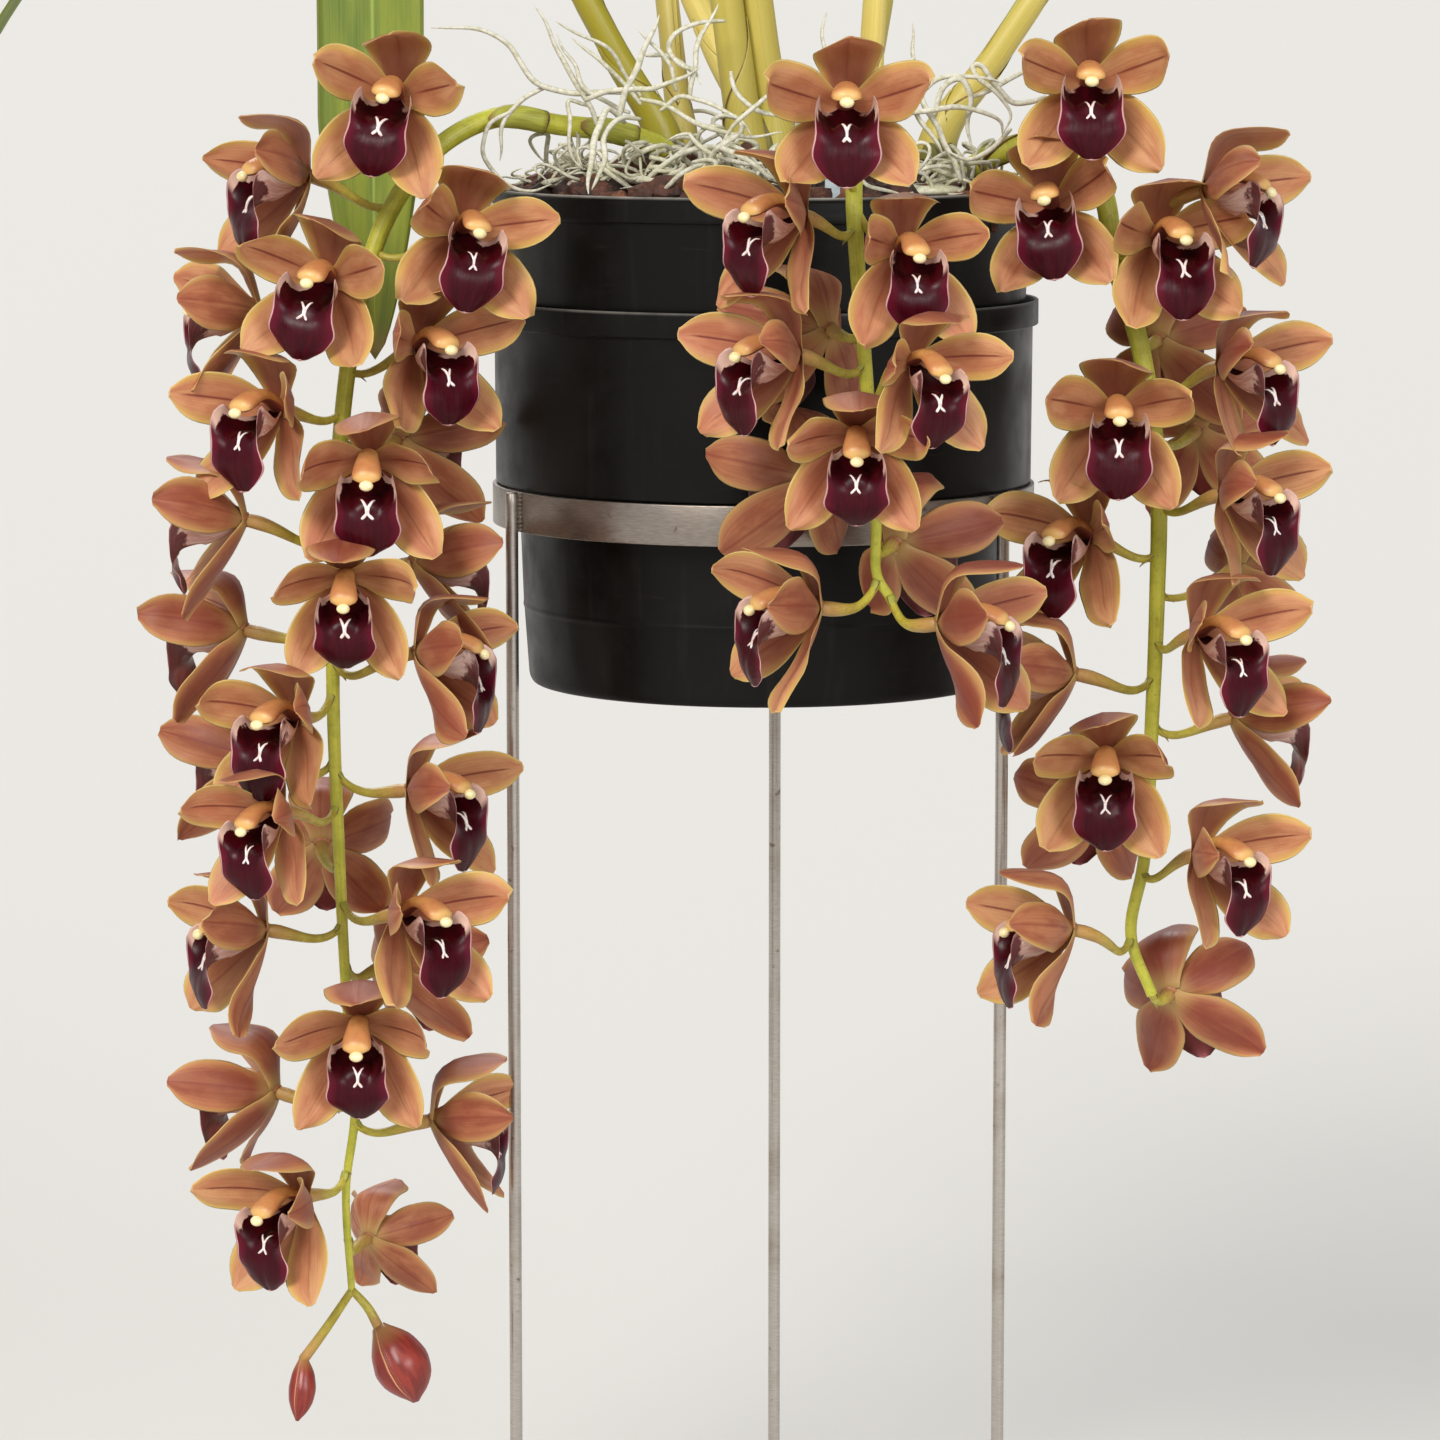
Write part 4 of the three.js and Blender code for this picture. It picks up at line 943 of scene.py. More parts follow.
def addStem(shape, growth, offset, draw):
    heading, tilt = math.radians(growth["heading"]), math.radians(growth["tilt"])
    level = np.array([math.cos(heading), math.sin(heading), 0])
    outward = level * math.sin(tilt) + np.array([0, 0, math.cos(tilt)])
    foot = np.array([growth["x"], growth["y"], bulb["foot"] + 8])
    neck = np.array([growth["x"], growth["y"], leaf["base"] + 2]) + level * offset
    reach = stem["reach"] * draw.uniform(0.94, 1.06)
    radius = stem["radius"] * (1.25 if offset else 1)
    rings, sides = stem["rings"], stem["sides"]
    points = [foot + level * offset * 0.6, neck, neck + outward * reach * 0.45, neck + outward * reach]
    line = throughPoints(points, rings)
    s = np.linspace(0, 1, rings)
    widths = radius * profile(s, stem["profile"])
    grid = tubeGrid(line, widths, sides, level)
    # the stem is flatter across the fan than along it
    square = np.cross(level, outward)
    broad = ((grid - line[:, None]) * square).sum(-1, keepdims=True) * square
    grid = grid - (1 - stem["flat"]) * broad
    veins = np.tile(0.5 * np.sin(2 * roundAngles(sides)), rings)
    held = {"pale": growth["pale"], "tone": draw.random(), "across": np.concatenate([veins, [0, 0]])}
    addTube(shape, grid, 0, held, along=0.01 + 0.1 * s)
    for clasp in clasps:
        # a leaf base wrapped close round the stem, drawn to a point at its top
        rows, cols = 20, 17
        t = np.linspace(0, clasp["reach"] * draw.uniform(0.85, 1.15) / reach * 0.8, rows)
        part = np.stack([np.interp(t, s, line[:, k]) for k in range(3)], axis=1)
        along, side, other = carriedFrames(part, level)
        a = np.linspace(-1, 1, cols)
        share = (t / t[-1])[:, None]
        spread = (3.0 - 2.8 * smooth(share, 0.35, 1.0)) * a[None, :]
        wrap = spread + clasp["turn"] + draw.uniform(-0.4, 0.4) + offset
        size = np.interp(t, s, widths)[:, None] + 0.35 + 0.3 * share
        face = roundLine(side, other, wrap, stem["flat"])
        grid = part[:, None] + face * size[..., None]
        held = {"along": 0.01 + 0.08 * share, "across": a[None, :], "tone": draw.random(),
                "pale": growth["pale"]}
        thick = 0.7 * np.maximum(1 - np.abs(a[None, :]) ** 6, 0.3) * (1.2 - 0.6 * share)
        addShell(shape, grid, unit(face), thick, 0, held, tip=grid[-1, cols // 2] + along[-1] * 1.5)


def pieceName(node):
    # moss_left becomes mossLeft
    first, *rest = node.split("_")
    return first + "".join(word.capitalize() for word in rest)


def makeGrowths():
    blade, skin = leafMaterial(), bulbMaterial()
    for number, (name, growth) in enumerate(growths.items()):
        draw = steadyDraw(11 + number)
        spare = random.Random(60 + number)
        shape = Shape()
        heading = math.radians(growth["heading"])
        stems = growth.get("stems", [0])
        for k in (-1.5, -0.5, 0.5, 1.5):
            lean = growth["tilt"] + leaf["fan"] * k
            side = math.copysign(1, lean) if lean else 0
            apart = leaf["spacing"] * k + stems[0 if k < 0 else -1]
            spec = {"x": growth["x"] + apart * math.cos(heading),
                    "y": growth["y"] + apart * math.sin(heading),
                    "foot": growth["tilt"] + leaf["baseFan"] * k, "lean": lean, "pale": growth["pale"]}
            spec["heading"] = growth["heading"] + 12 * (draw() - 0.5)
            spec["droop"] = lean + side * growth["arch"] * (60 + 20 * k * side + 8 * draw())
            spec["length"] = growth["length"] - 16 * k * side + 30 * draw()
            spec["twist"] = 30 * (draw() - 0.5)
            spec["width"] = leaf["width"]
            wave = {"size": 0.8 + 1.2 * spare.random(), "count": 3 + 2 * spare.random(),
                    "phase": spare.random()}
            addStrapLeaf(shape, spec, spare.random(), wave)
        if name == "growth_left":
            addStrapLeaf(shape, creasedLeaf, 0.85, {"size": 0.8, "count": 5, "phase": 0.2})
        addBulb(shape, growth["x"], growth["y"], spare)
        for offset in stems:
            addStem(shape, growth, offset, spare)
        piece = shape.makeObject(pieceName(name), [blade, skin])
        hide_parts(name)
        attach(piece, "root")


makeGrowths()
print("growths made")


# Sprays: a hanging stalk through pixels of the frame, with a bloom at each place along it

sepal = {"root": 65, "tip": 40, "length": 56, "width": 28.5,
         "fold": 0.5, "petal": 0, "lift": -0.6, "curl": -22}
petal = {"root": 58, "tip": 24, "length": 53, "width": 26.5, "fold": 0.55, "petal": 1, "lift": 0.8, "curl": 4}
hood = {"root": 79, "tip": 3, "length": 56, "width": 35, "fold": 0.62, "petal": -1, "lift": -0.6, "curl": 0,
        "bend": (0.2, 0.66)}
tepals = [{**sepal, "turn": -143}, {**sepal, "turn": 143}, {**hood, "turn": 0}, {**petal, "turn": -72},
          {**petal, "turn": 72}]
bloom = {"hub": 3.6, "thick": 0.9, "cols": 13, "reach": 38, "columnReach": 34, "seed": 300,
         "pedicel": [(0, 2.3), (0.1, 1.8), (0.45, 2.1), (0.85, 3.3), (1, 2.9)],
         "bract": [(0, 2.8), (0.25, 2.9), (0.7, 1.6), (0.95, 0.4)]}
tepalStations = [0, 0.06, 0.13, 0.2, 0.28, 0.36, 0.44, 0.52, 0.6, 0.68, 0.75, 0.82, 0.87, 0.91, 0.945, 0.972,
                 0.99, 1]
tepalWidths = [(0, 0.34), (0.1, 0.44), (0.22, 0.68), (0.34, 0.88), (0.46, 0.99), (0.56, 1.0), (0.68, 0.97),
               (0.78, 0.87), (0.86, 0.7), (0.92, 0.5), (0.96, 0.31), (0.985, 0.14)]
lip = {
    "rows": 36, "cols": 21, "ridge": 4.2, "ridgeWidth": 4.8, "mark": (0.485, 0.625),
    "spine": [(-2, 3), (-6.5, 9), (-10, 15.5), (-12.3, 22), (-14, 28), (-17.5, 32.4), (-23.5, 34.2),
              (-30, 33), (-35.5, 30)],
    "widths": [(0, 4), (0.1, 7.5), (0.2, 11), (0.3, 16), (0.38, 21), (0.43, 24), (0.48, 24.8), (0.52, 23.5),
               (0.55, 20), (0.58, 16), (0.61, 14.4), (0.65, 15.2), (0.7, 16), (0.76, 15.9), (0.83, 14.2),
               (0.89, 11.8), (0.94, 8.8), (0.98, 5.6), (1, 3.4)],
    "folds": [(0, 1.1), (0.2, 1.2), (0.3, 1.45), (0.38, 1.8), (0.44, 2.0), (0.5, 1.98), (0.54, 1.6),
              (0.575, 1.05), (0.61, 0.45), (0.66, -0.05), (0.8, -0.4), (1, -0.5)],
    "markHighlightApart": [(0.485, 3.0), (0.55, 0.3), (0.585, 0.2), (0.625, 2.5)],
    "markHighlightWidths": [(0.485, 0.3), (0.5, 0.5), (0.55, 0.8), (0.58, 0.65), (0.61, 0.85), (0.625, 0.5)]}
column = {
    "line": [(0, 0), (4.5, 8), (6.4, 14), (6, 20), (4, 26), (1.4, 32)],
    "widths": [(0, 4.2), (0.3, 4.4), (0.5, 4.9), (0.65, 5.8), (0.8, 6.8), (0.9, 6.9), (0.96, 5.8), (1, 3.2)],
    "over": [(0, 0.9), (0.5, 0.84), (0.8, 0.7), (1, 0.6)], "under": [(0, 0.7), (0.4, 0.42), (1, 0.3)],
    "cap": (0, 0.3, 33.4), "capSize": (3.3, 2.5, 2.6)}


def tepalMaterial():
    material, tree, shader = newMaterial(
        "tepal", Roughness=0.5, Subsurface_Weight=0.1, Subsurface_Scale=0.004, Specular_IOR_Level=0.3,
        Subsurface_Radius=(1.0, 0.45, 0.25), Sheen_Weight=0.03, Sheen_Roughness=0.4)
    along, across, side = value(tree, "along"), value(tree, "across"), value(tree, "side")
    tone, petal, warmth = value(tree, "tone"), value(tree, "petal"), value(tree, "warmth")
    outward = absolute(tree, across)
    spread = times(tree, tone, 50)
    veins = streaked(tree, across, 20, along, 1.2, spread, 2, 0.5)
    cloud = streaked(tree, across, 1.6, along, 2.4, spread)
    freckle = noise(tree, place(tree), 900, 2, 0.6)
    salmon = blend(tree, band(tree, cloud, 0.35, 0.65), rgb(200, 138, 102), rgb(180, 110, 80))
    tan = blend(tree, band(tree, cloud, 0.35, 0.65), rgb(204, 154, 106), rgb(186, 127, 87))
    base = blend(tree, warmth, tan, salmon)
    # darker along the middle and towards the base, and fine veins
    darkerMiddle = times(tree, band(tree, outward, 0.62, 0.0), band(tree, along, 0.95, 0.35))
    base = blend(tree, times(tree, darkerMiddle, 0.42), base, rgb(142, 70, 42))
    # painted shade: the sepals are darker by the lip, and the middle of the hood above it is darkest
    shade = times(tree, band(tree, along, 0.65, 0.1), band(tree, petal, 0.6, 0, 0, 0.55))
    hoodShade = times(tree, band(tree, petal, -0.2, -0.9, 0, 0.12), band(tree, outward, 1.0, 0.75))
    shade = plus(tree, shade, hoodShade)
    base = blend(tree, shade, base, rgb(114, 46, 26))
    base = blend(tree, band(tree, veins, 0.44, 0.66, 0, 0.18), base, rgb(138, 64, 40))
    # yellow margins, wider towards the tip, and a thin pale rim
    margin = plus(tree, outward, times(tree, along, 0.14))
    margin = plus(tree, margin, uneven(tree, cloud, 0.5))
    base = blend(tree, band(tree, margin, 0.62, 1.08, 0, 0.75), base, rgb(206, 168, 88))
    edge = reckon(tree, "MAXIMUM", outward, band(tree, along, 0.93, 1.0))
    base = blend(tree, band(tree, edge, 0.91, 0.965, 0, 0.85), base, rgb(222, 198, 120))
    # the dark midline
    line = times(tree, band(tree, outward, 0.075, 0.01), band(tree, along, 0.1, 0.4))
    line = times(tree, line, band(tree, along, 0.93, 0.8))
    line = times(tree, line, band(tree, petal, 0, 1, 0.3, 0.85))
    base = blend(tree, line, base, rgb(112, 42, 38))
    base = blend(tree, band(tree, freckle, 0.6, 0.74, 0, 0.16), base, rgb(126, 54, 42))
    back = blend(tree, band(tree, cloud, 0.36, 0.64), rgb(178, 117, 80), rgb(152, 88, 61))
    back = blend(tree, band(tree, veins, 0.42, 0.66, 0, 0.3), back, rgb(132, 62, 44))
    ruddy = times(tree, band(tree, outward, 0.9, 0.3), band(tree, tone, 0.1, 1, 0.05, 0.65))
    back = blend(tree, ruddy, back, rgb(118, 44, 32))
    back = blend(tree, band(tree, margin, 0.7, 1.15, 0, 0.7), back, rgb(196, 156, 92))
    back = blend(tree, times(tree, band(tree, outward, 0.1, 0.02), 0.5), back, rgb(126, 52, 40))
    back = blend(tree, band(tree, along, 0.25, 0.02, 0, 0.5), back, rgb(196, 172, 100))
    base = blend(tree, side, base, back)
    dress(tree, shader, base, plus(tree, veins, times(tree, freckle, 0.25)), 0.2, 0.0006,
          band(tree, veins, 0.3, 0.7, 0.54, 0.44))
    return material


def lipMaterial():
    material, tree, shader = newMaterial(
        "lip", Roughness=0.3, Subsurface_Weight=0.05, Subsurface_Scale=0.003, Specular_IOR_Level=0.17)
    along, across, side, tone = (value(tree, name) for name in ("along", "across", "side", "tone"))
    outward = absolute(tree, across)
    spread = times(tree, tone, 50)
    veins = streaked(tree, across, 10, along, 4, spread, 3, 0.6)
    cloud = streaked(tree, across, 3, along, 7, spread, 4, 0.65)
    velvet = noise(tree, place(tree), 1300, 2, 0.6)
    deep = blend(tree, band(tree, cloud, 0.36, 0.66), rgb(60, 4, 12), rgb(40, 2, 8))
    lobe = band(tree, along, 0.5, 0.6)
    front = blend(tree, band(tree, veins, 0.3, 0.72), rgb(66, 5, 18), rgb(50, 3, 13))
    # the front lobe is lighter magenta towards its sides: partly its own colour, partly a painted highlight
    # on the rolled margins
    front = blend(tree, band(tree, outward, 0.55, 0.95, 0, 0.55), front, rgb(112, 20, 46))
    colour = blend(tree, lobe, deep, front)
    # the side lobes end in a pale patch with a ragged edge
    patch = plus(tree, outward, uneven(tree, cloud, 0.5))
    lobes = times(tree, band(tree, along, 0.12, 0.2), band(tree, along, 0.56, 0.52))
    patch = times(tree, band(tree, patch, 0.74, 0.78), lobes)
    colour = blend(tree, patch, colour, rgb(224, 186, 168))
    # a thin pale line runs round the front
    edge = reckon(tree, "MAXIMUM", outward, band(tree, along, 0.955, 1.0))
    edge = times(tree, band(tree, edge, 0.93, 0.965), band(tree, along, 0.5, 0.62, 0.35, 1))
    colour = blend(tree, edge, colour, rgb(228, 176, 172))
    outside = blend(tree, band(tree, veins, 0.4, 0.62), rgb(228, 200, 188), rgb(208, 164, 154))
    ragged = plus(tree, along, uneven(tree, cloud, 0.3))
    outside = blend(tree, band(tree, ragged, 0.46, 0.5, 0, 0.9), outside, rgb(82, 16, 30))
    under = times(tree, band(tree, along, 0.62, 0.7), band(tree, outward, 0.8, 0.3))
    outside = blend(tree, under, outside, rgb(150, 84, 88))
    colour = blend(tree, side, colour, outside)
    dress(tree, shader, colour, plus(tree, times(tree, velvet, 0.4), veins), 0.16, 0.0006,
          band(tree, cloud, 0.3, 0.7, 0.26, 0.42))
    return material


def columnMaterial():
    material, tree, shader = newMaterial("column", Roughness=0.4, Subsurface_Weight=0.12,
                                         Subsurface_Scale=0.003)
    along, across = value(tree, "along"), value(tree, "across")
    cloud = noise(tree, place(tree), 260, 3, 0.6)
    base = blend(tree, band(tree, cloud, 0.4, 0.62), rgb(206, 156, 86), rgb(194, 134, 76))
    base = blend(tree, band(tree, along, 0.4, 0.75, 0, 0.65), base, rgb(190, 122, 80))
    base = blend(tree, band(tree, along, 0.88, 0.98, 0, 0.85), base, rgb(226, 182, 110))
    # painted shade: darker towards the base, where the hood shadows the column
    base = blend(tree, band(tree, along, 0.42, 0.1, 0, 0.8), base, rgb(162, 98, 68))
    base = blend(tree, band(tree, across, 0.54, 0.6, 0, 0.8), base, rgb(120, 40, 44))
    dress(tree, shader, base, cloud, 0.25, 0.0004)
    return material


def waxMaterial(name, first, second, roughness):
    # the anther cap and the mark on the lip: waxy, nearly white; the mark's white is partly a painted
    # highlight on the glossy callus
    material, tree, shader = newMaterial(
        name, Roughness=roughness, Subsurface_Weight=0.2, Subsurface_Scale=0.002, Coat_Weight=0.25)
    cloud = noise(tree, place(tree), 520, 3, 0.6)
    dress(tree, shader, blend(tree, band(tree, cloud, 0.4, 0.68), first, second), cloud, 0.25, 0.0003)
    return material


def stemMaterial(name, first, second, mark, end=None):
    material, tree, shader = newMaterial(name, Roughness=0.42, Subsurface_Weight=0.06, Subsurface_Scale=0.003)
    along, across = value(tree, "along"), value(tree, "across")
    cloud = noise(tree, place(tree), 110, 5, 0.62)
    fibres = streaked(tree, across, 34, along, 9, 0.0)
    dots = noise(tree, place(tree), 620, 2, 0.5)
    base = blend(tree, band(tree, cloud, 0.38, 0.64), first, second)
    if end:
        base = blend(tree, band(tree, along, 0.4, 0.95, 0, 0.75), base, end)
    base = blend(tree, band(tree, fibres, 0.45, 0.65, 0, 0.35), base, mark)
    base = blend(tree, band(tree, dots, 0.62, 0.7, 0, 0.55), base, mark)
    dress(tree, shader, base, plus(tree, fibres, cloud), 0.35, 0.0006,
          band(tree, cloud, 0.3, 0.7, 0.36, 0.55))
    return material


def closerAtEdges(count, share):
    # places from edge to edge, from -1 to 1, that lie closer together towards both edges
    reach = math.pi / 2 * share
    return np.sin(np.linspace(-1, 1, count) * reach) / math.sin(reach)


def addTepal(shape, spec, axes, values):
    cols = bloom["cols"]
    turn = math.radians(spec["turn"])
    away = np.array([math.sin(turn), math.cos(turn), 0])
    facing = np.array([0, 0, 1.0])
    s = np.array(tepalStations)

    def bentAt(way):
        share = smooth(way, *spec["bend"]) if "bend" in spec else way
        bent = spec["root"] + (spec["tip"] - spec["root"]) * share
        return np.radians(bent - spec["curl"] * smooth(way, 0.66, 1))
    fine = (s[:-1] + s[1:]) / 2
    ways = np.sin(bentAt(fine))[:, None] * away + np.cos(bentAt(fine))[:, None] * facing
    steps = ways * spec["length"] * np.diff(s)[:, None]
    spine = np.vstack([[0, 0, 0], np.cumsum(steps, axis=0)])
    spine = spine + away * bloom["hub"] * 0.55 + facing * spec["lift"]
    bent = bentAt(s)
    along = np.sin(bent)[:, None] * away + np.cos(bent)[:, None] * facing
    normal = -np.cos(bent)[:, None] * away + np.sin(bent)[:, None] * facing
    across = np.cross(along, normal)
    twist = np.radians(spec["twist"]) * smooth(s, 0.1, 1)
    normal, across = twisted(normal, across, twist)
    dense = np.linspace(0, 1, 101)
    widths = softened(profile(dense, tepalWidths), np.ones(9) / 9)
    half = spec["width"] / 2 * np.interp(s, dense, widths)
    fold = spec["fold"] * (1 - 0.5 * s)
    a = closerAtEdges(cols, 0.9)
    theta, x, z = cupped(half, fold, a)
    swing = 2 * math.pi * (spec["waves"] * s[:, None] + spec["phase"]) + 2.2 * (a > 0)
    ripple = spec["ripple"] * np.abs(a) ** 3 * np.sin(swing)
    z = z + ripple * smooth(s, 0.1, 0.4)[:, None]
    # one edge may roll back, and a shallow groove runs down the middle
    rolled = smooth(math.copysign(1, spec["roll"]) * a, 0.45, 1)[None, :] * smooth(s, 0.35, 0.7)[:, None]
    z = z - abs(spec["roll"]) * rolled
    z = z - 0.4 * np.exp(-(a[None, :] / 0.1) ** 2) * np.sin(math.pi * s[:, None]) ** 0.5
    grid = toWorld(overSpine(spine, across, normal, x, z), axes)
    face = roundLine(normal, -across, theta) @ axes["turn"].T
    thick = bloom["thick"] * (1.35 - 0.6 * s[:, None]) * np.maximum(1 - np.abs(a[None, :]) ** 3, 0.12)
    thick = thick * axes["size"]
    held = {"along": s[:-1, None], "across": a[None, :], "petal": float(spec["petal"]), **values}
    addShell(shape, grid[:-1], face[:-1], thick[:-1], 0, held, tip=toWorld(spine[-1], axes))


def toWorld(points, axes):
    return points @ axes["turn"].T * axes["size"] + axes["centre"]


def lipRidge(x, v):
    return lip["ridge"] * np.exp(-(x / lip["ridgeWidth"]) ** 4) * smooth(v, 0.34, 0.44) * smooth(v, 0.62, 0.5)


def addLip(shape, axes, values, draw):
    rows, cols = lip["rows"], lip["cols"]
    v = np.linspace(0, 1, rows)
    spine = evenly(throughPoints([(0, up, out) for up, out in lip["spine"]], 80), rows)
    spine[:, 1] += draw.uniform(-1.2, 1.2) * smooth(v, 0.5, 1)
    spine[:, 2] += draw.uniform(-1.5, 1.5) * smooth(v, 0.6, 1)
    along = unit(np.gradient(spine, axis=0))
    normal = np.stack([0 * v, along[:, 2], -along[:, 1]], axis=1)
    across = np.array([[1.0, 0, 0]])
    half = profile(v, lip["widths"]) * (1 + draw.uniform(-0.06, 0.03) * smooth(v, 0.5, 0.6))
    half = softened(half, [0.18, 0.64, 0.18])
    fold = softened(profile(v, lip["folds"]), [0.1, 0.2, 0.4, 0.2, 0.1])
    fold = np.where(np.abs(fold) < 0.03, 0.03, fold)
    a = closerAtEdges(cols, 0.8)
    theta, x, z = cupped(half, fold, a)
    # a low ridge in the throat carries the white mark, partly the callus's own pale colour and partly a
    # painted highlight
    z = z + lipRidge(x, v[:, None])
    # the front is gently frilled
    frill = smooth(v, 0.55, 0.75)[:, None] * np.abs(a[None, :]) ** 2.5 * 0.7
    z = z + frill * np.sin(2 * math.pi * 3.2 * v[:, None] + draw.uniform(0, 6) + 2.6 * (a > 0))
    z = z - 0.5 * np.exp(-(a[None, :] / 0.12) ** 2) * smooth(v, 0.62, 0.8)[:, None]
    grid = toWorld(overSpine(spine, across, normal, x, z), axes)
    face = roundLine(normal, -across, theta) @ axes["turn"].T
    thick = np.maximum(1 - np.abs(a[None, :]) ** 4, 0.2) * (1.2 - 0.4 * v[:, None]) * axes["size"]
    held = {"along": v[:, None], "across": a[None, :], **values}
    addShell(shape, grid, face, thick, 1, held, tip=toWorld(spine[-1] + along[-1] * 0.8, axes))
    # two short white arms meet on the middle of the lip and part again below: pale callus with a painted
    # highlight
    for side in (-1, 1):
        pick = np.linspace(*lip["mark"], 12)
        out = profile(pick, lip["markHighlightApart"]) * side * draw.uniform(0.6, 1.15) + draw.uniform(-0.3, 0.3)
        line = np.stack([out, np.interp(pick, v, spine[:, 1]), np.interp(pick, v, spine[:, 2])], axis=1)
        lift = 0.5 + lipRidge(out, pick) + draw.uniform(-0.1, 0.3)
        line = line + np.stack([np.interp(pick, v, normal[:, k]) for k in range(3)], axis=1) * lift[:, None]
        radii = profile(pick, lip["markHighlightWidths"]) * draw.uniform(0.7, 1.1) * axes["size"]
        addTube(shape, tubeGrid(toWorld(line, axes), radii, 8, axes["turn"][:, 0]), 3, values)


def addColumn(shape, axes, values):
    # it arches over the lip, flat beneath, and bears the anther cap at its end
    rows, sides = 20, 16
    line = toWorld(throughPoints([(0, up, out) for up, out in column["line"]], rows), axes)
    along, right, up = carriedFrames(line, axes["turn"][:, 0])
    s = np.linspace(0, 1, rows)
    half = profile(s, column["widths"]) * axes["size"]
    over, under = half * profile(s, column["over"]), half * profile(s, column["under"])
    angle = roundAngles(sides)
    high = np.where(np.sin(angle) > 0, over[:, None], under[:, None]) * np.sin(angle)
    addTube(shape, overSpine(line, right, up, half[:, None] * np.cos(angle), high), 2, values)
    capTurn = axes["turn"] @ np.array([[1, 0, 0], [0, 0.9, -0.43], [0, 0.43, 0.9]])
    centre = toWorld(np.array(column["cap"]), axes)
    addBlob(shape, centre, np.array(column["capSize"]) * axes["size"], 4, 14, 9, values, capTurn)


def bloomAxes(spec):
    yaw, pitch, roll = (math.radians(spec.get(key, 0)) for key in ("yaw", "pitch", "roll"))
    facing = np.array([math.sin(yaw) * math.cos(pitch), -math.cos(yaw) * math.cos(pitch), math.sin(pitch)])
    right = np.array([math.cos(yaw), math.sin(yaw), 0])
    up = np.cross(facing, right)
    up, right = up * math.cos(roll) + right * math.sin(roll), right * math.cos(roll) - up * math.sin(roll)
    return np.stack([right, up, facing], axis=1)


def placeBloom(stalk, spec):
    # the pixel is the column's tip, or the hub of a bloom that faces away; the stem's length gives the depth
    back, size = spec.get("back", False), spec.get("size", 1)
    reach = spec.get("reach", bloom["reach"])
    turn = bloomAxes(spec)
    tip = turn[:, 2] * (0 if spec.get("byCentre", back) else bloom["columnReach"] * size)
    hanging = stalk[np.argmax(stalk[:, 2]):]
    depth = stalk[int(len(stalk) * 0.6), 1]
    height = atPixel(spec["x"], spec.get("nodeY", spec["y"]), depth)[2]
    nodePoint = hanging[np.argmin(np.abs(hanging[:, 2] - height))]
    centre = nodePoint.copy()
    for _ in range(4):
        centre = atPixel(spec["x"], spec["y"], centre[1] + tip[1]) - tip
        span = math.hypot(centre[0] - nodePoint[0], centre[2] - nodePoint[2])
        forward = math.sqrt(max(reach ** 2 - span ** 2, 36))
        centre[1] = nodePoint[1] + (forward if back else -forward)
    return nodePoint, {"turn": turn, "centre": centre, "size": size}


def addPedicel(shape, start, axes, values, draw, spine):
    # a stem that leaves the stalk, bows down and rises into the ribbed ovary behind the bloom
    reach = np.linalg.norm(start - axes["centre"])
    facing = axes["turn"][:, 2]
    downward = np.array([0, 0, -1.0])
    end = axes["centre"] + facing * 0.4
    below = start + 0.3 * (end - start) + 0.3 * reach * downward
    behind = end - facing * 0.45 * reach + 0.06 * reach * downward
    count = 18
    s = np.linspace(0, 1, count)
    t = s[:, None]
    line = (1 - t) ** 3 * start + 3 * t * (1 - t) ** 2 * below + 3 * t ** 2 * (1 - t) * behind + t ** 3 * end
    line = evenly(line, count)
    radii = profile(s, bloom["pedicel"]) * (0.6 + 0.4 * axes["size"])

    def ribs(angle, way):
        return 1 + 0.07 * np.cos(6 * angle) * way
    addTube(shape, tubeGrid(line, radii, 12, axes["turn"][:, 1], ribs), 5, values)
    # a small dry bract clasps the stem where it leaves the stalk
    outward = unit(line[3] - line[0])
    side = unit(np.cross(outward, downward))
    normal = unit(np.cross(side, outward))
    s = np.linspace(0, 1, 8)
    a = np.linspace(-1, 1, 7)
    theta, x, z = cupped(profile(s, bloom["bract"]), 1.15 * (1 - 0.4 * s), a)
    rootPoint = start + outward * spine * 0.5
    length = draw.uniform(6, 10)
    line = rootPoint + s[:, None] * (outward * 0.8 + downward * 0.55) * length + normal * -2.6
    grid = overSpine(line, side[None], normal[None], x, z)
    held = {"along": s[:, None], "across": a[None, :], **values}
    addShell(shape, grid, roundLine(normal[None], -side[None], theta), np.full(grid.shape[:2], 0.35), 6, held,
             tip=line[-1] + unit(outward + downward) * 0.8)


def makeBloom(name, stalk, spec, seed, warmth, radius, materials, nodeName):
    draw = random.Random(seed)
    start, axes = placeBloom(stalk, spec)
    values = {"tone": draw.random(), "warmth": min(max(warmth + draw.uniform(-0.3, 0.3), 0), 1)}
    shape = Shape()
    for tepal in tepals:
        own = dict(tepal)
        own["turn"] += draw.uniform(-5, 5)
        own["root"] += draw.uniform(-5, 5)
        loose = 0.3 if "bend" in own else 1
        own["tip"] += draw.uniform(-9, 9) * loose
        own["length"] *= draw.uniform(0.95, 1.03)
        own["width"] *= draw.uniform(0.92, 1.03)
        own["twist"] = draw.uniform(-17, 17)
        if abs(tepal["turn"]) > 100:
            own["twist"] += math.copysign(spec.get("flare", 0), tepal["turn"])
        own["ripple"] = draw.uniform(0.4, 1.2)
        own["waves"] = draw.uniform(0.8, 1.6)
        own["phase"] = draw.random()
        own["curl"] += draw.uniform(-20, 26) * loose
        own["roll"] = draw.uniform(-3.5, 3.5) * loose
        addTepal(shape, own, axes, values)
    addLip(shape, axes, values, draw)
    addColumn(shape, axes, values)
    addPedicel(shape, start, axes, values, draw, radius)
    piece = shape.makeObject(name, materials)
    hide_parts(nodeName)
    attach(piece, "root")


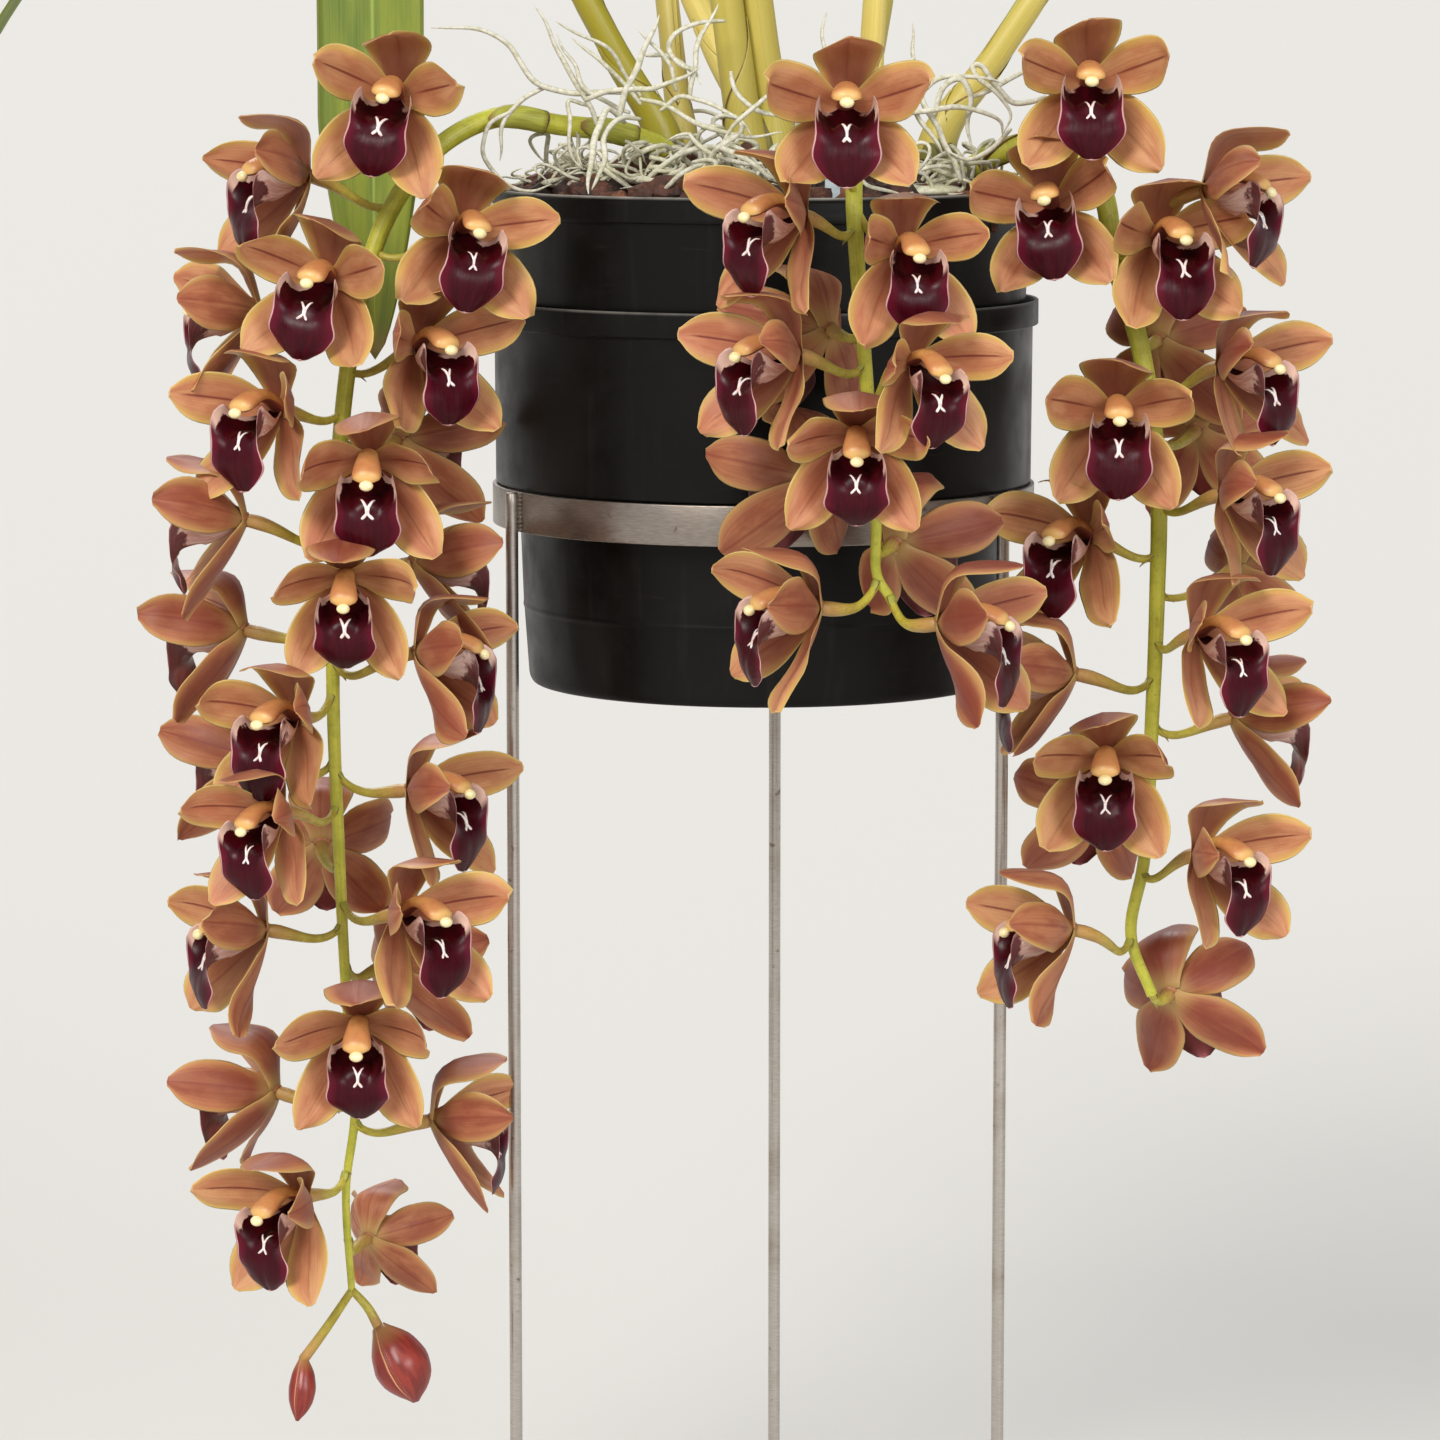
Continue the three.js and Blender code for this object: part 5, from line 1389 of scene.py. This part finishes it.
sprays = {
    "spray_left": {
        "radius": 5.4, "tipRadius": 1.7, "warmth": 0.4,
        "stalk": [
            (690, 188, -10), (668, 153, -22), (620, 133, -34), (560, 125, -46), (500, 117, -56),
            (440, 146, -68), (388, 215, -74), (358, 310, -80), (343, 410, -84), (335, 540, -86),
            (333, 690, -86), (339, 850, -86), (346, 990, -86), (355, 1110, -86), (346, 1190, -86),
            (352, 1295, -86)],
        "blooms": [
            {"x": 382, "y": 99, "yaw": -8, "roll": 10, "nodeY": 165},
            {"x": 241, "y": 177, "yaw": -60, "flare": 34, "nodeY": 205},
            {"x": 306, "y": 284, "yaw": -15, "roll": 8},
            {"x": 187, "y": 312, "yaw": -80, "nodeY": 325},
            {"x": 480, "y": 234, "yaw": 18, "roll": 10, "nodeY": 250, "reach": 48},
            {"x": 452, "y": 351, "yaw": 32, "nodeY": 370},
            {"x": 234, "y": 414, "yaw": -35, "nodeY": 412},
            {"x": 172, "y": 520, "yaw": -88, "nodeY": 540, "reach": 46},
            {"x": 366, "y": 487, "yaw": 0, "pitch": -17, "reach": 42},
            {"x": 398, "y": 440, "yaw": 150, "back": True, "reach": 30},
            {"x": 412, "y": 563, "yaw": 100, "nodeY": 575, "byCentre": True},
            {"x": 343, "y": 610, "yaw": 0, "pitch": -23, "size": 0.95},
            {"x": 245, "y": 630, "yaw": -110, "nodeY": 620, "back": True, "reach": 46},
            {"x": 486, "y": 655, "yaw": 75, "flare": 34, "nodeY": 665, "reach": 54},
            {"x": 256, "y": 726, "yaw": -30, "nodeY": 695, "reach": 34},
            {"x": 262, "y": 760, "yaw": -140, "back": True, "reach": 46},
            {"x": 240, "y": 833, "yaw": -33, "pitch": -10, "nodeY": 808, "reach": 54, "size": 0.92},
            {"x": 322, "y": 845, "yaw": 180, "back": True, "nodeY": 862},
            {"x": 471, "y": 795, "yaw": 60, "nodeY": 775},
            {"x": 447, "y": 923, "yaw": 42, "nodeY": 905, "reach": 48},
            {"x": 385, "y": 965, "yaw": 140, "back": True},
            {"x": 197, "y": 935, "yaw": -66, "flare": 42, "nodeY": 925},
            {"x": 356, "y": 1058, "yaw": 0, "pitch": -18},
            {"x": 277, "y": 1092, "yaw": -112, "nodeY": 1100, "back": True},
            {"x": 503, "y": 1122, "yaw": 83, "nodeY": 1120},
            {"x": 256, "y": 1222, "yaw": -37, "pitch": -10, "nodeY": 1175},
            {"x": 368, "y": 1238, "yaw": 150, "back": True, "size": 0.8},
        ],
    },
    "spray_middle": {
        "radius": 5, "tipRadius": 2.2, "warmth": 0.75,
        "stalk": [
            (845, 200, -72), (850, 171, -96), (854, 157, -122), (856, 150, -150), (855, 166, -178),
            (854, 200, -192), (857, 260, -198), (868, 400, -202), (876, 520, -204), (877, 575, -204),
            (889, 596, -204)],
        "blooms": [
            {"x": 847, "y": 103, "yaw": 0, "pitch": 5, "nodeY": 190, "reach": 56},
            {"x": 743, "y": 218, "yaw": -50, "nodeY": 228},
            {"x": 920, "y": 259, "yaw": 14, "pitch": -5, "nodeY": 203, "size": 0.92},
            {"x": 734, "y": 358, "yaw": -56, "nodeY": 365},
            {"x": 830, "y": 330, "yaw": -145, "back": True, "reach": 24},
            {"x": 946, "y": 380, "yaw": 30, "pitch": -12, "nodeY": 395, "reach": 56, "size": 0.88},
            {"x": 857, "y": 463, "yaw": 0, "pitch": -18, "size": 0.92},
            {"x": 815, "y": 478, "yaw": -150, "back": True, "reach": 34},
            {"x": 894, "y": 544, "yaw": 150, "back": True, "reach": 24},
            {"x": 748, "y": 611, "yaw": -68, "roll": 8, "nodeY": 580},
            {"x": 1011, "y": 627, "yaw": 68, "flare": 34, "nodeY": 595},
        ],
    },
    "spray_right": {
        "radius": 5.6, "tipRadius": 2.6, "warmth": 0.32,
        "stalk": [
            (936, 200, -28), (972, 168, -37), (1014, 148, -44), (1060, 146, -52), (1100, 186, -62),
            (1115, 260, -70), (1142, 355, -78), (1158, 480, -84), (1157, 600, -88), (1152, 720, -90),
            (1144, 860, -90), (1131, 935, -90), (1152, 995, -90)],
        "blooms": [
            {"x": 1092, "y": 82, "yaw": 0, "pitch": 3, "nodeY": 170, "reach": 60},
            {"x": 1044, "y": 201, "yaw": -10, "roll": -8, "pitch": 7, "nodeY": 176, "reach": 42},
            {"x": 1187, "y": 241, "yaw": 20, "nodeY": 250, "reach": 40},
            {"x": 1272, "y": 193, "yaw": 62, "roll": 12, "nodeY": 235, "reach": 64},
            {"x": 1157, "y": 340, "yaw": 160, "back": True, "reach": 24},
            {"x": 1281, "y": 370, "yaw": 50, "nodeY": 400},
            {"x": 1120, "y": 422, "yaw": 0, "pitch": -3},
            {"x": 1196, "y": 430, "yaw": 165, "back": True, "reach": 50},
            {"x": 1281, "y": 499, "yaw": 46, "nodeY": 505},
            {"x": 1236, "y": 566, "yaw": 155, "back": True, "nodeY": 595, "reach": 42, "size": 0.8},
            {"x": 1048, "y": 542, "yaw": -38, "nodeY": 552},
            {"x": 1247, "y": 641, "yaw": 38, "nodeY": 641},
            {"x": 1232, "y": 718, "yaw": 98, "nodeY": 726, "back": True, "reach": 42},
            {"x": 1074, "y": 674, "yaw": -80, "nodeY": 678, "byCentre": True, "reach": 48},
            {"x": 1105, "y": 781, "yaw": -5, "pitch": -10},
            {"x": 1100, "y": 800, "yaw": -165, "back": True},
            {"x": 1251, "y": 863, "yaw": 42, "nodeY": 872},
            {"x": 1003, "y": 933, "yaw": -75, "flare": 42, "nodeY": 938, "reach": 52},
            {"x": 1169, "y": 994, "yaw": 158, "roll": 14, "nodeY": 992, "back": True, "reach": 24},
        ],
    },
}
buds = [
    {"stem": [(352, 1290), (325, 1330), (303, 1360)], "tip": (297, 1421), "girth": 6.8},
    {"stem": [(352, 1290), (368, 1308), (380, 1330)], "tip": (416, 1402), "girth": 14.2},
]
budProfile = [(0, 0.2), (0.08, 0.42), (0.25, 0.8), (0.5, 1.0), (0.72, 0.86), (0.88, 0.5), (1, 0.06)]
sheaths = {"places": [0.064, 0.127], "reach": 34, "thick": 0.4, "ring": 0.42, "ringSides": 28}


def budMaterial():
    material, tree, shader = newMaterial("budSkin", Roughness=0.34, Subsurface_Weight=0.08,
                                         Subsurface_Scale=0.003)
    along, across, tone = (value(tree, name) for name in ("along", "across", "tone"))
    streaks = streaked(tree, across, 24, along, 3, tone)
    seam = absolute(tree, reckon(tree, "SINE", times(tree, across, 3 * math.pi)))
    base = blend(tree, band(tree, streaks, 0.4, 0.62), rgb(144, 52, 40), rgb(120, 38, 32))
    base = blend(tree, band(tree, along, 0.3, 0.0), base, rgb(156, 112, 66))
    base = blend(tree, band(tree, seam, 0.13, 0.04, 0, 0.9), base, rgb(206, 152, 108))
    dress(tree, shader, base, streaks, 0.35, 0.0006)
    return material


def sheathMaterial():
    material, tree, shader = newMaterial("sheath", Roughness=0.5)
    along, across = value(tree, "along"), value(tree, "across")
    outward = absolute(tree, across)
    fibres = streaked(tree, across, 18, along, 2, value(tree, "tone"))
    base = blend(tree, band(tree, fibres, 0.4, 0.65), rgb(170, 172, 66), rgb(150, 146, 54))
    edge = reckon(tree, "MAXIMUM", band(tree, outward, 0.82, 0.95), band(tree, along, 0.8, 1.0))
    base = blend(tree, times(tree, edge, 0.85), base, rgb(136, 96, 50))
    dress(tree, shader, base, fibres, 0.35, 0.0005)
    return material


def nodeMaterial():
    material, tree, shader = newMaterial("nodeRing", Roughness=0.7)
    cloud = noise(tree, place(tree), 420, 3, 0.6)
    base = blend(tree, band(tree, cloud, 0.4, 0.62), rgb(150, 104, 58), rgb(98, 62, 38))
    dress(tree, shader, base, cloud, 0.4, 0.0004)
    return material


def stalkTree():
    # a stalk: a round profile swept along a line, thinner towards its tip
    tree, source, result, sockets = newTree("sweepStalk", {
        "Sides": "NodeSocketInt", "Root Radius": "NodeSocketFloat", "Tip Radius": "NodeSocketFloat",
        "Finish": "NodeSocketMaterial"})
    given = source.outputs
    way = makeNode(tree, "GeometryNodeSplineParameter").outputs["Factor"]
    line = storeNamed(tree, given["Geometry"], "POINT", "along", way)
    size = makeNode(tree, "ShaderNodeMapRange", Value=way, To_Min=given["Root Radius"],
                    To_Max=given["Tip Radius"])
    circle = makeNode(tree, "GeometryNodeCurvePrimitiveCircle", Resolution=given["Sides"], Radius=1.0)
    ring = storeNamed(tree, circle.outputs["Curve"], "POINT", "across", way)
    sweep = makeNode(tree, "GeometryNodeCurveToMesh", Curve=line, Profile_Curve=ring,
                     Scale=size.outputs["Result"], Fill_Caps=True)
    finishTree(tree, sweep.outputs["Mesh"], source, result)
    return tree, sockets


def makeStalk(name, line, spray, tree, sockets, finish, sheath, ringFinish):
    curve = bpy.data.curves.new(name + "Line", "CURVE")
    curve.dimensions = "3D"
    spline = curve.splines.new("POLY")
    spline.points.add(len(line) - 1)
    points = line * mm + potAxis
    spline.points.foreach_set("co", np.hstack([points, np.ones((len(points), 1))]).ravel())
    guide = bpy.data.objects.new(name + "Line", curve)
    scene.collection.objects.link(guide)
    settings = {"Sides": 18, "Root Radius": spray["radius"] * mm, "Tip Radius": spray["tipRadius"] * mm,
                "Finish": finish}
    runNodes(guide, tree, sockets, settings)
    mesh = finalMesh(guide)
    stalk = bpy.data.objects.new(name, mesh)
    scene.collection.objects.link(stalk)
    bpy.data.objects.remove(guide)
    for face in mesh.polygons:
        face.use_smooth = True
    # each node near the foot carries a thin dry ring and a close sheath that runs to a point
    shape = Shape()
    draw = random.Random(len(line) + spray["radius"])
    step = np.linalg.norm(line[1] - line[0])
    for share in sheaths["places"]:
        i = int(share * len(line))
        part = line[i:i + max(int(sheaths["reach"] / step), 6)]
        along, side, other = carriedFrames(part, np.array([0, 0, 1.0]))
        s = np.linspace(0, 1, len(part))
        a = np.linspace(-1, 1, 15)
        size = spray["radius"] + (spray["tipRadius"] - spray["radius"]) * share
        wrap = (2.9 - 2.6 * s[:, None] ** 1.3) * a[None, :] + draw.uniform(-0.5, 0.5) - 1.2
        radius = size + 0.45 + 0.25 * s[:, None] + 0 * a
        face = roundLine(side, other, wrap)
        held = {"along": s[:, None], "across": a[None, :], "tone": share * 9}
        thick = np.full(radius.shape, sheaths["thick"])
        addShell(shape, part[:, None] + face * radius[..., None], face, thick, 0, held)
        turn, lobes = roundAngles(sheaths["ringSides"]), roundAngles(6)
        around = side[0] * np.cos(turn)[:, None] + other[0] * np.sin(turn)[:, None]
        thick = sheaths["ring"] * (1 + 0.25 * np.sin(3 * turn + share * 40))[:, None]
        ring = part[0] + around[:, None] * (size + 0.2 + thick * np.cos(lobes))[..., None]
        ring = ring + along[0] * (thick * 1.6 * np.sin(lobes))[..., None]
        rings, sides = len(turn), len(lobes)
        i, k = np.meshgrid(np.arange(rings), np.arange(sides), indexing="ij")
        here, after = i * sides, (i + 1) % rings * sides
        above = (k + 1) % sides
        quads = np.stack([here + k, after + k, after + above, here + above], axis=-1).reshape(-1, 4)
        shape.add(ring.reshape(-1, 3), [quads], 1, {})
    extra = shape.makeObject(name + "Sheaths", [sheath, ringFinish])
    joinInto(stalk, [extra])
    return stalk


def makeSprays():
    materials = [tepalMaterial(), lipMaterial(), columnMaterial(),
                 # the lip mark's white is partly a painted highlight on the glossy callus
                 waxMaterial("lipMark", rgb(246, 232, 226), rgb(232, 196, 190), 0.22),
                 waxMaterial("antherCap", rgb(247, 232, 184), rgb(240, 220, 152), 0.35),
                 stemMaterial("pedicelSkin", rgb(194, 184, 66), rgb(174, 158, 52), rgb(146, 110, 52),
                              rgb(180, 124, 80)),
                 sheathMaterial()]
    stalkFinish = stemMaterial("stalkSkin", rgb(200, 198, 68), rgb(178, 180, 54), rgb(156, 140, 48))
    ringFinish = nodeMaterial()
    budFinish = budMaterial()
    tree, sockets = stalkTree()
    for number, (name, spray) in enumerate(sprays.items()):
        line = throughPoints([atPixel(*point) for point in spray["stalk"]], 260)
        short = name.split("_")[1].capitalize()
        stalk = makeStalk("stalk" + short, line, spray, tree, sockets, stalkFinish, materials[6], ringFinish)
        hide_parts(name)
        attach(stalk, "root")
        for k, spec in enumerate(spray["blooms"]):
            seed = bloom["seed"] + 40 * number + k
            makeBloom(f"bloom{short}{k + 1:02d}", line, spec, seed, spray["warmth"], spray["tipRadius"],
                      materials, name)
        if name == "spray_left":
            for k, bud in enumerate(buds):
                makeBud(f"bud{k + 1}", bud, line[-1][1], [budFinish, materials[5]], name)


def makeBud(name, bud, depth, materials, nodeName):
    shape = Shape()
    stem = throughPoints([atPixel(x, y, depth) for x, y in bud["stem"]], 12)
    addTube(shape, tubeGrid(stem, np.linspace(1.9, 2.6, len(stem)), 12), 1)
    tip = atPixel(*bud["tip"], depth - 6)
    rows, sides = 18, 24
    s = np.linspace(0, 1, rows)
    start = stem[-1] - unit(tip - stem[-1]) * 2
    line = start + (tip - start) * s[:, None]
    line = line + np.array([1.0, 0, 0]) * (0.16 * bud["girth"] * np.sin(math.pi * s))[:, None]
    radii = softened(bud["girth"] * profile(s, budProfile), [0.22, 0.56, 0.22])

    def seams(angle, way):
        return 1 - 0.07 * np.exp(-(np.sin(1.5 * angle) / 0.2) ** 2) * np.sin(math.pi * way) ** 0.5
    addTube(shape, tubeGrid(line, radii, sides, (-0.5, -1, 0), seams), 0, {"tone": bud["girth"]})
    piece = shape.makeObject(name, materials)
    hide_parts(nodeName)
    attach(piece, "root")


makeSprays()
print("sprays made")


# Moss: tufts of dry grey strands on the bark, and long loose strands

tufts = {
    "moss_left": {"mats": [(-97, 14, 20), (-84, -44, 22)], "spacing": 0.0075},
    "moss_front": {"mats": [(-12, -94, 20), (-42, -72, 24)], "spacing": 0.0065},
    "moss_right": {"mats": [(74, -74, 20), (98, -34, 18)], "spacing": 0.0075},
    "moss_back": {"mats": [(8, 97, 22), (-44, 88, 16)], "spacing": 0.008},
}
strand = {"kinds": 9, "thick": 1.2, "reach": 76, "sizeLow": 0.6, "sizeHigh": 1.15, "seed": 70, "count": 24,
          "looseCount": 48,
          "profile": [(0, 0.7), (0.1, 0.95), (0.5, 1), (0.8, 0.72), (0.94, 0.4), (1, 0.12)]}
# long loose strands: pixels of the frame with their depth, from root to tip, and their thickness
looseStrands = {
    "moss_left": [
        (1.35, -66, -72, [(628, 92), (598, 93), (570, 92), (545, 88), (530, 78), (512, 47), (491, 35),
                          (465, 27), (430, 29)]),
        (1.15, -66, -69, [(545, 89), (523, 98), (509, 112), (502, 131), (500, 161)]),
        (1.05, -68, -78, [(512, 110), (490, 126), (482, 149), (491, 168), (507, 184), (533, 191),
                          (551, 185)]),
        (1.2, -66, -72, [(598, 126), (591, 110), (579, 86), (565, 65), (551, 35), (535, 6)]),
        (1.1, -70, -72, [(630, 112), (614, 107), (586, 89), (575, 65), (563, 49), (558, 33)]),
        (1.0, -50, -58, [(640, 96), (619, 63), (607, 49), (579, 33), (556, 22)]),
        (1.1, -60, -66, [(640, 104), (624, 82), (607, 68), (591, 54), (573, 37)]),
        (0.95, -64, -74, [(590, 106), (568, 100), (571, 117), (568, 140), (575, 159), (583, 168)]),
    ],
    "moss_front": [
        (1.3, -86, -136, [(624, 122), (607, 110), (598, 131), (591, 159), (589, 176), (589, 194)]),
        (1.2, -84, -137, [(640, 118), (620, 118), (604, 140), (604, 163), (598, 180), (592, 190)]),
        (1.25, -82, -84, [(618, 116), (628, 86), (638, 63), (649, 40), (659, 16)]),
        (1.05, -80, -80, [(676, 92), (673, 72), (666, 61), (652, 44), (638, 27)]),
        (1.15, -88, -88, [(690, 96), (694, 70), (696, 51), (705, 28), (719, 5)]),
        (1.15, -60, -90, [(724, 22), (694, 23), (675, 35), (669, 51), (677, 63), (694, 70), (702, 84)]),
        (1.1, -70, -88, [(645, 55), (666, 57), (684, 65), (694, 74), (690, 92)]),
        (1.3, -76, -92, [(586, 100), (610, 92), (636, 88), (654, 89), (682, 77), (700, 66)]),
        (1.2, -86, -102, [(640, 98), (666, 107), (694, 121), (717, 131), (738, 135), (760, 136), (784, 133)]),
        (1.2, -100, -104, [(730, 72), (733, 82), (740, 96), (757, 110), (780, 117), (800, 119)]),
        (1.1, -108, -108, [(786, 92), (772, 94), (757, 103), (740, 119), (726, 138), (715, 154)]),
        (1.15, -100, -116, [(690, 132), (698, 144), (710, 154), (729, 161), (757, 163), (790, 160)]),
        (1.0, -114, -136, [(694, 161), (708, 160), (717, 164), (712, 177), (705, 190)]),
        (1.1, -88, -104, [(660, 112), (680, 96), (700, 100), (724, 112), (744, 122), (752, 134)]),
        (1.0, -92, -92, [(830, 92), (823, 36), (826, 11)]),
        (0.9, -122, -136, [(860, 178), (866, 184), (884, 190), (903, 196)]),
    ],
    "moss_right": [
        (1.35, -84, -90, [(962, 182), (949, 153), (940, 131), (927, 109), (919, 82), (914, 55), (912, 23)]),
        (0.9, -90, -90, [(914, 58), (905, 66), (886, 68)]),
        (1.15, -84, -74, [(915, 96), (924, 90), (938, 79), (962, 77), (990, 78), (1004, 84)]),
        (1.35, -72, -78, [(1047, 96), (1030, 102), (1014, 104), (1003, 93), (990, 78), (980, 64), (972, 66),
                          (976, 76), (990, 86), (1002, 98), (1010, 116), (1004, 134)]),
        (1.2, -60, -80, [(1030, 68), (1014, 78), (1001, 85), (985, 92), (972, 98), (966, 112)]),
        (1.15, -86, -84, [(934, 116), (938, 98), (948, 84), (962, 80), (970, 92), (968, 120), (971, 150)]),
        (1.3, -98, -84, [(884, 122), (900, 116), (919, 111), (954, 108), (984, 112), (1000, 122),
                         (1004, 138)]),
        (1.1, -92, -88, [(908, 100), (918, 116), (932, 134), (942, 154)]),
        (1.15, -78, -88, [(1012, 130), (998, 142), (984, 152), (966, 160), (946, 152)]),
        (1.0, -78, -100, [(1002, 180), (1030, 170), (1060, 172), (1080, 184)]),
    ],
    "moss_back": [
        (1.1, 96, 100, [(790, 120), (760, 70), (735, 40), (742, 10)]),
        (1.1, 96, 104, [(800, 120), (850, 90), (900, 96), (930, 130)]),
        (1.0, 92, 96, [(740, 130), (700, 110), (670, 120), (640, 150)]),
    ],
}


def mossMaterial():
    material, tree, shader = newMaterial("dryMoss", Roughness=0.88, Specular_IOR_Level=0.3)
    cloud = noise(tree, place(tree), 420, 4, 0.65)
    wide = noise(tree, place(tree), 34, 3, 0.6)
    base = blend(tree, band(tree, cloud, 0.4, 0.66), rgb(216, 213, 196), rgb(186, 182, 154))
    base = blend(tree, band(tree, wide, 0.5, 0.7, 0, 0.5), base, rgb(176, 174, 130))
    dress(tree, shader, base, cloud, 0.5, 0.0004)
    return material


def strandRadii(count, thick):
    # full at the root and through the middle, drawn out to a fine tip
    return thick * profile(np.linspace(0, 1, count), strand["profile"])


def makeStrandKind(name, seed, material):
    draw = np.random.default_rng(seed)
    count = strand["count"]
    t = np.linspace(0, 1, count)
    reach = strand["reach"] * draw.uniform(0.7, 1.15)
    heading = draw.uniform(0, fullTurn)
    heading = heading + draw.uniform(1.4, 3.4) * np.sin(draw.uniform(3, 6) * t + draw.uniform(0, fullTurn))
    rise = draw.uniform(0.5, 1.1) - 1.3 * t
    rise = rise + draw.uniform(0.4, 0.9) * np.sin(draw.uniform(4, 7) * t + draw.uniform(0, fullTurn))
    level = np.cos(rise)
    steps = np.stack([np.cos(heading) * level, np.sin(heading) * level, np.sin(rise)], axis=1) * reach / count
    line = np.cumsum(steps, axis=0) - steps[0]
    # strands lie over each other a little above the bark, never under it
    line[:, 2] = np.maximum(line[:, 2], 0.4 * np.sin(line[:, 2]) + 1.5)
    shape = Shape()
    addTube(shape, tubeGrid(line, strandRadii(count, strand["thick"]), 5, (0.3, 0.2, 1)), 0)
    return shape.makeObject(name, [material], None, mm, np.zeros(3))


def makeMoss():
    material = mossMaterial()
    kinds = bpy.data.collections.new("strandKinds")
    for k in range(strand["kinds"]):
        kind = makeStrandKind(f"strand{k}", strand["seed"] + k, material)
        kinds.objects.link(kind)
        scene.collection.objects.unlink(kind)
    for number, (name, tuft) in enumerate(tufts.items()):
        base = Shape()
        for x, y, reach in tuft["mats"]:
            middle = np.array([x, y, crownHeight(math.hypot(x, y)) + 1])
            addBlob(base, middle, (reach, reach * 0.8, 3.5), 0, 16, 8)
        piece = base.makeObject(pieceName(name), [material])
        settings = {"Spacing": tuft["spacing"], "Smallest": strand["sizeLow"], "Largest": strand["sizeHigh"],
                    "Tilt": 0.35, "Kinds": kinds, "Finish": material, "Seed": 20 + number}
        runNodes(piece, scatterNodes, scatterSockets, settings)
        bakeModifiers(piece)
        loose = Shape()
        for thick, nearDepth, farDepth, pixels in looseStrands.get(name, []):
            depths = np.linspace(nearDepth, farDepth, len(pixels))
            count = strand["looseCount"]
            line = throughPoints([atPixel(x, y, depth) for (x, y), depth in zip(pixels, depths)], count)
            x, z = line[:, 0], line[:, 2]
            wobble = np.stack([np.sin(z * 0.31 + thick * 9), np.cos(x * 0.27 + thick * 5),
                               np.sin(x * 0.23)], axis=1)
            line = line + 0.5 * wobble
            addTube(loose, tubeGrid(line, strandRadii(count, thick * 1.3), 7, (0.3, 0.2, 1), flat=0.8), 0)
        joinInto(piece, [loose.makeObject(name + "Loose", [material])])
        for face in piece.data.polygons:
            face.use_smooth = True
        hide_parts(name)
        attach(piece, "root")
    for kind in list(kinds.objects):
        bpy.data.objects.remove(kind)
    bpy.data.collections.remove(kinds)


makeMoss()
print("moss made")


# Label: a blank strip of pale plastic, rounded at its top, pushed into the bark

label = {"x": 31, "y": -108, "width": 7, "thick": 0.8, "low": 705, "top": 751, "round": 1.8}


def makeLabel():
    material, tree, shader = newMaterial("labelPlastic", Roughness=0.42)
    where = place(tree)
    cloud = noise(tree, where, 90, 4)
    specks = noise(tree, where, 700, 2)
    base = blend(tree, band(tree, cloud, 0.4, 0.7), rgb(186, 198, 204), rgb(160, 172, 176))
    base = blend(tree, band(tree, specks, 0.62, 0.72, 0, 0.5), base, rgb(116, 104, 88))
    dress(tree, shader, base, cloud, 0.15, 0.0004)
    w, r = label["width"] / 2, label["round"]
    outline = [(-w, label["low"]), (w, label["low"])]
    top = label["top"] - r
    turns = np.linspace(0, math.pi / 2, 6)
    outline += [(w - r + r * math.cos(t), top + r * math.sin(t)) for t in turns]
    outline += [(-w + r - r * math.sin(t), top + r * math.cos(t)) for t in turns]
    n = len(outline)
    front = [(label["x"] + x, label["y"] - label["thick"] / 2, z) for x, z in outline]
    back = [(x, y + label["thick"], z) for x, y, z in front]
    shape = Shape()
    walls = [[k, k + n, (k + 1) % n + n, (k + 1) % n] for k in range(n)]
    shape.add(np.array(front + back), [walls, [list(range(n))], [list(range(2 * n - 1, n - 1, -1))]], 0, {})
    piece = shape.makeObject("plantLabel", [material], 40)
    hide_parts("plant_tag")
    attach(piece, "root")


makeLabel()
print("label made")


# Studio: a plain pale floor and soft lights

studio = {"floor": 600, "world": 0.44, "key": 2.4, "fill": 1.2, "rim": 1.5, "soft": 24}


def makeStudio():
    mesh = bpy.data.meshes.new("floor")
    half = studio["floor"]
    corners = [(-half, -half, 0), (half, -half, 0), (half, half, 0), (-half, half, 0)]
    mesh.from_pydata(corners, [], [(0, 1, 2, 3)])
    floor = bpy.data.objects.new("floor", mesh)
    scene.collection.objects.link(floor)
    material, tree, shader = newMaterial("paleFloor", Roughness=0.85)
    shader.inputs["Base Color"].default_value = rgb(206, 204, 199)
    mesh.materials.append(material)
    world = bpy.data.worlds.new("studio")
    world.use_nodes = True
    world.node_tree.nodes["Background"].inputs["Color"].default_value = (0.93, 0.95, 1.0, 1)
    world.node_tree.nodes["Background"].inputs["Strength"].default_value = studio["world"]
    scene.world = world
    for name, azimuth, height, power, tint in (
            ("keyLight", 206, 34, studio["key"], (1.0, 0.97, 0.93)),
            ("fillLight", 150, 20, studio["fill"], (0.96, 0.98, 1.0)),
            ("rimLight", 344, 44, studio["rim"], (1.0, 0.98, 0.95))):
        data = bpy.data.lights.new(name, "SUN")
        data.energy = power
        data.angle = math.radians(studio["soft"])
        data.color = tint
        light = bpy.data.objects.new(name, data)
        # azimuth is counted from the back, clockwise as seen from above
        turn, rise = math.radians(azimuth), math.radians(height)
        towards = Vector((math.sin(turn) * math.cos(rise), math.cos(turn) * math.cos(rise), math.sin(rise)))
        light.rotation_euler = towards.to_track_quat("Z", "Y").to_euler()
        scene.collection.objects.link(light)
    scene.view_settings.view_transform = "Standard"


makeStudio()
print("studio made")
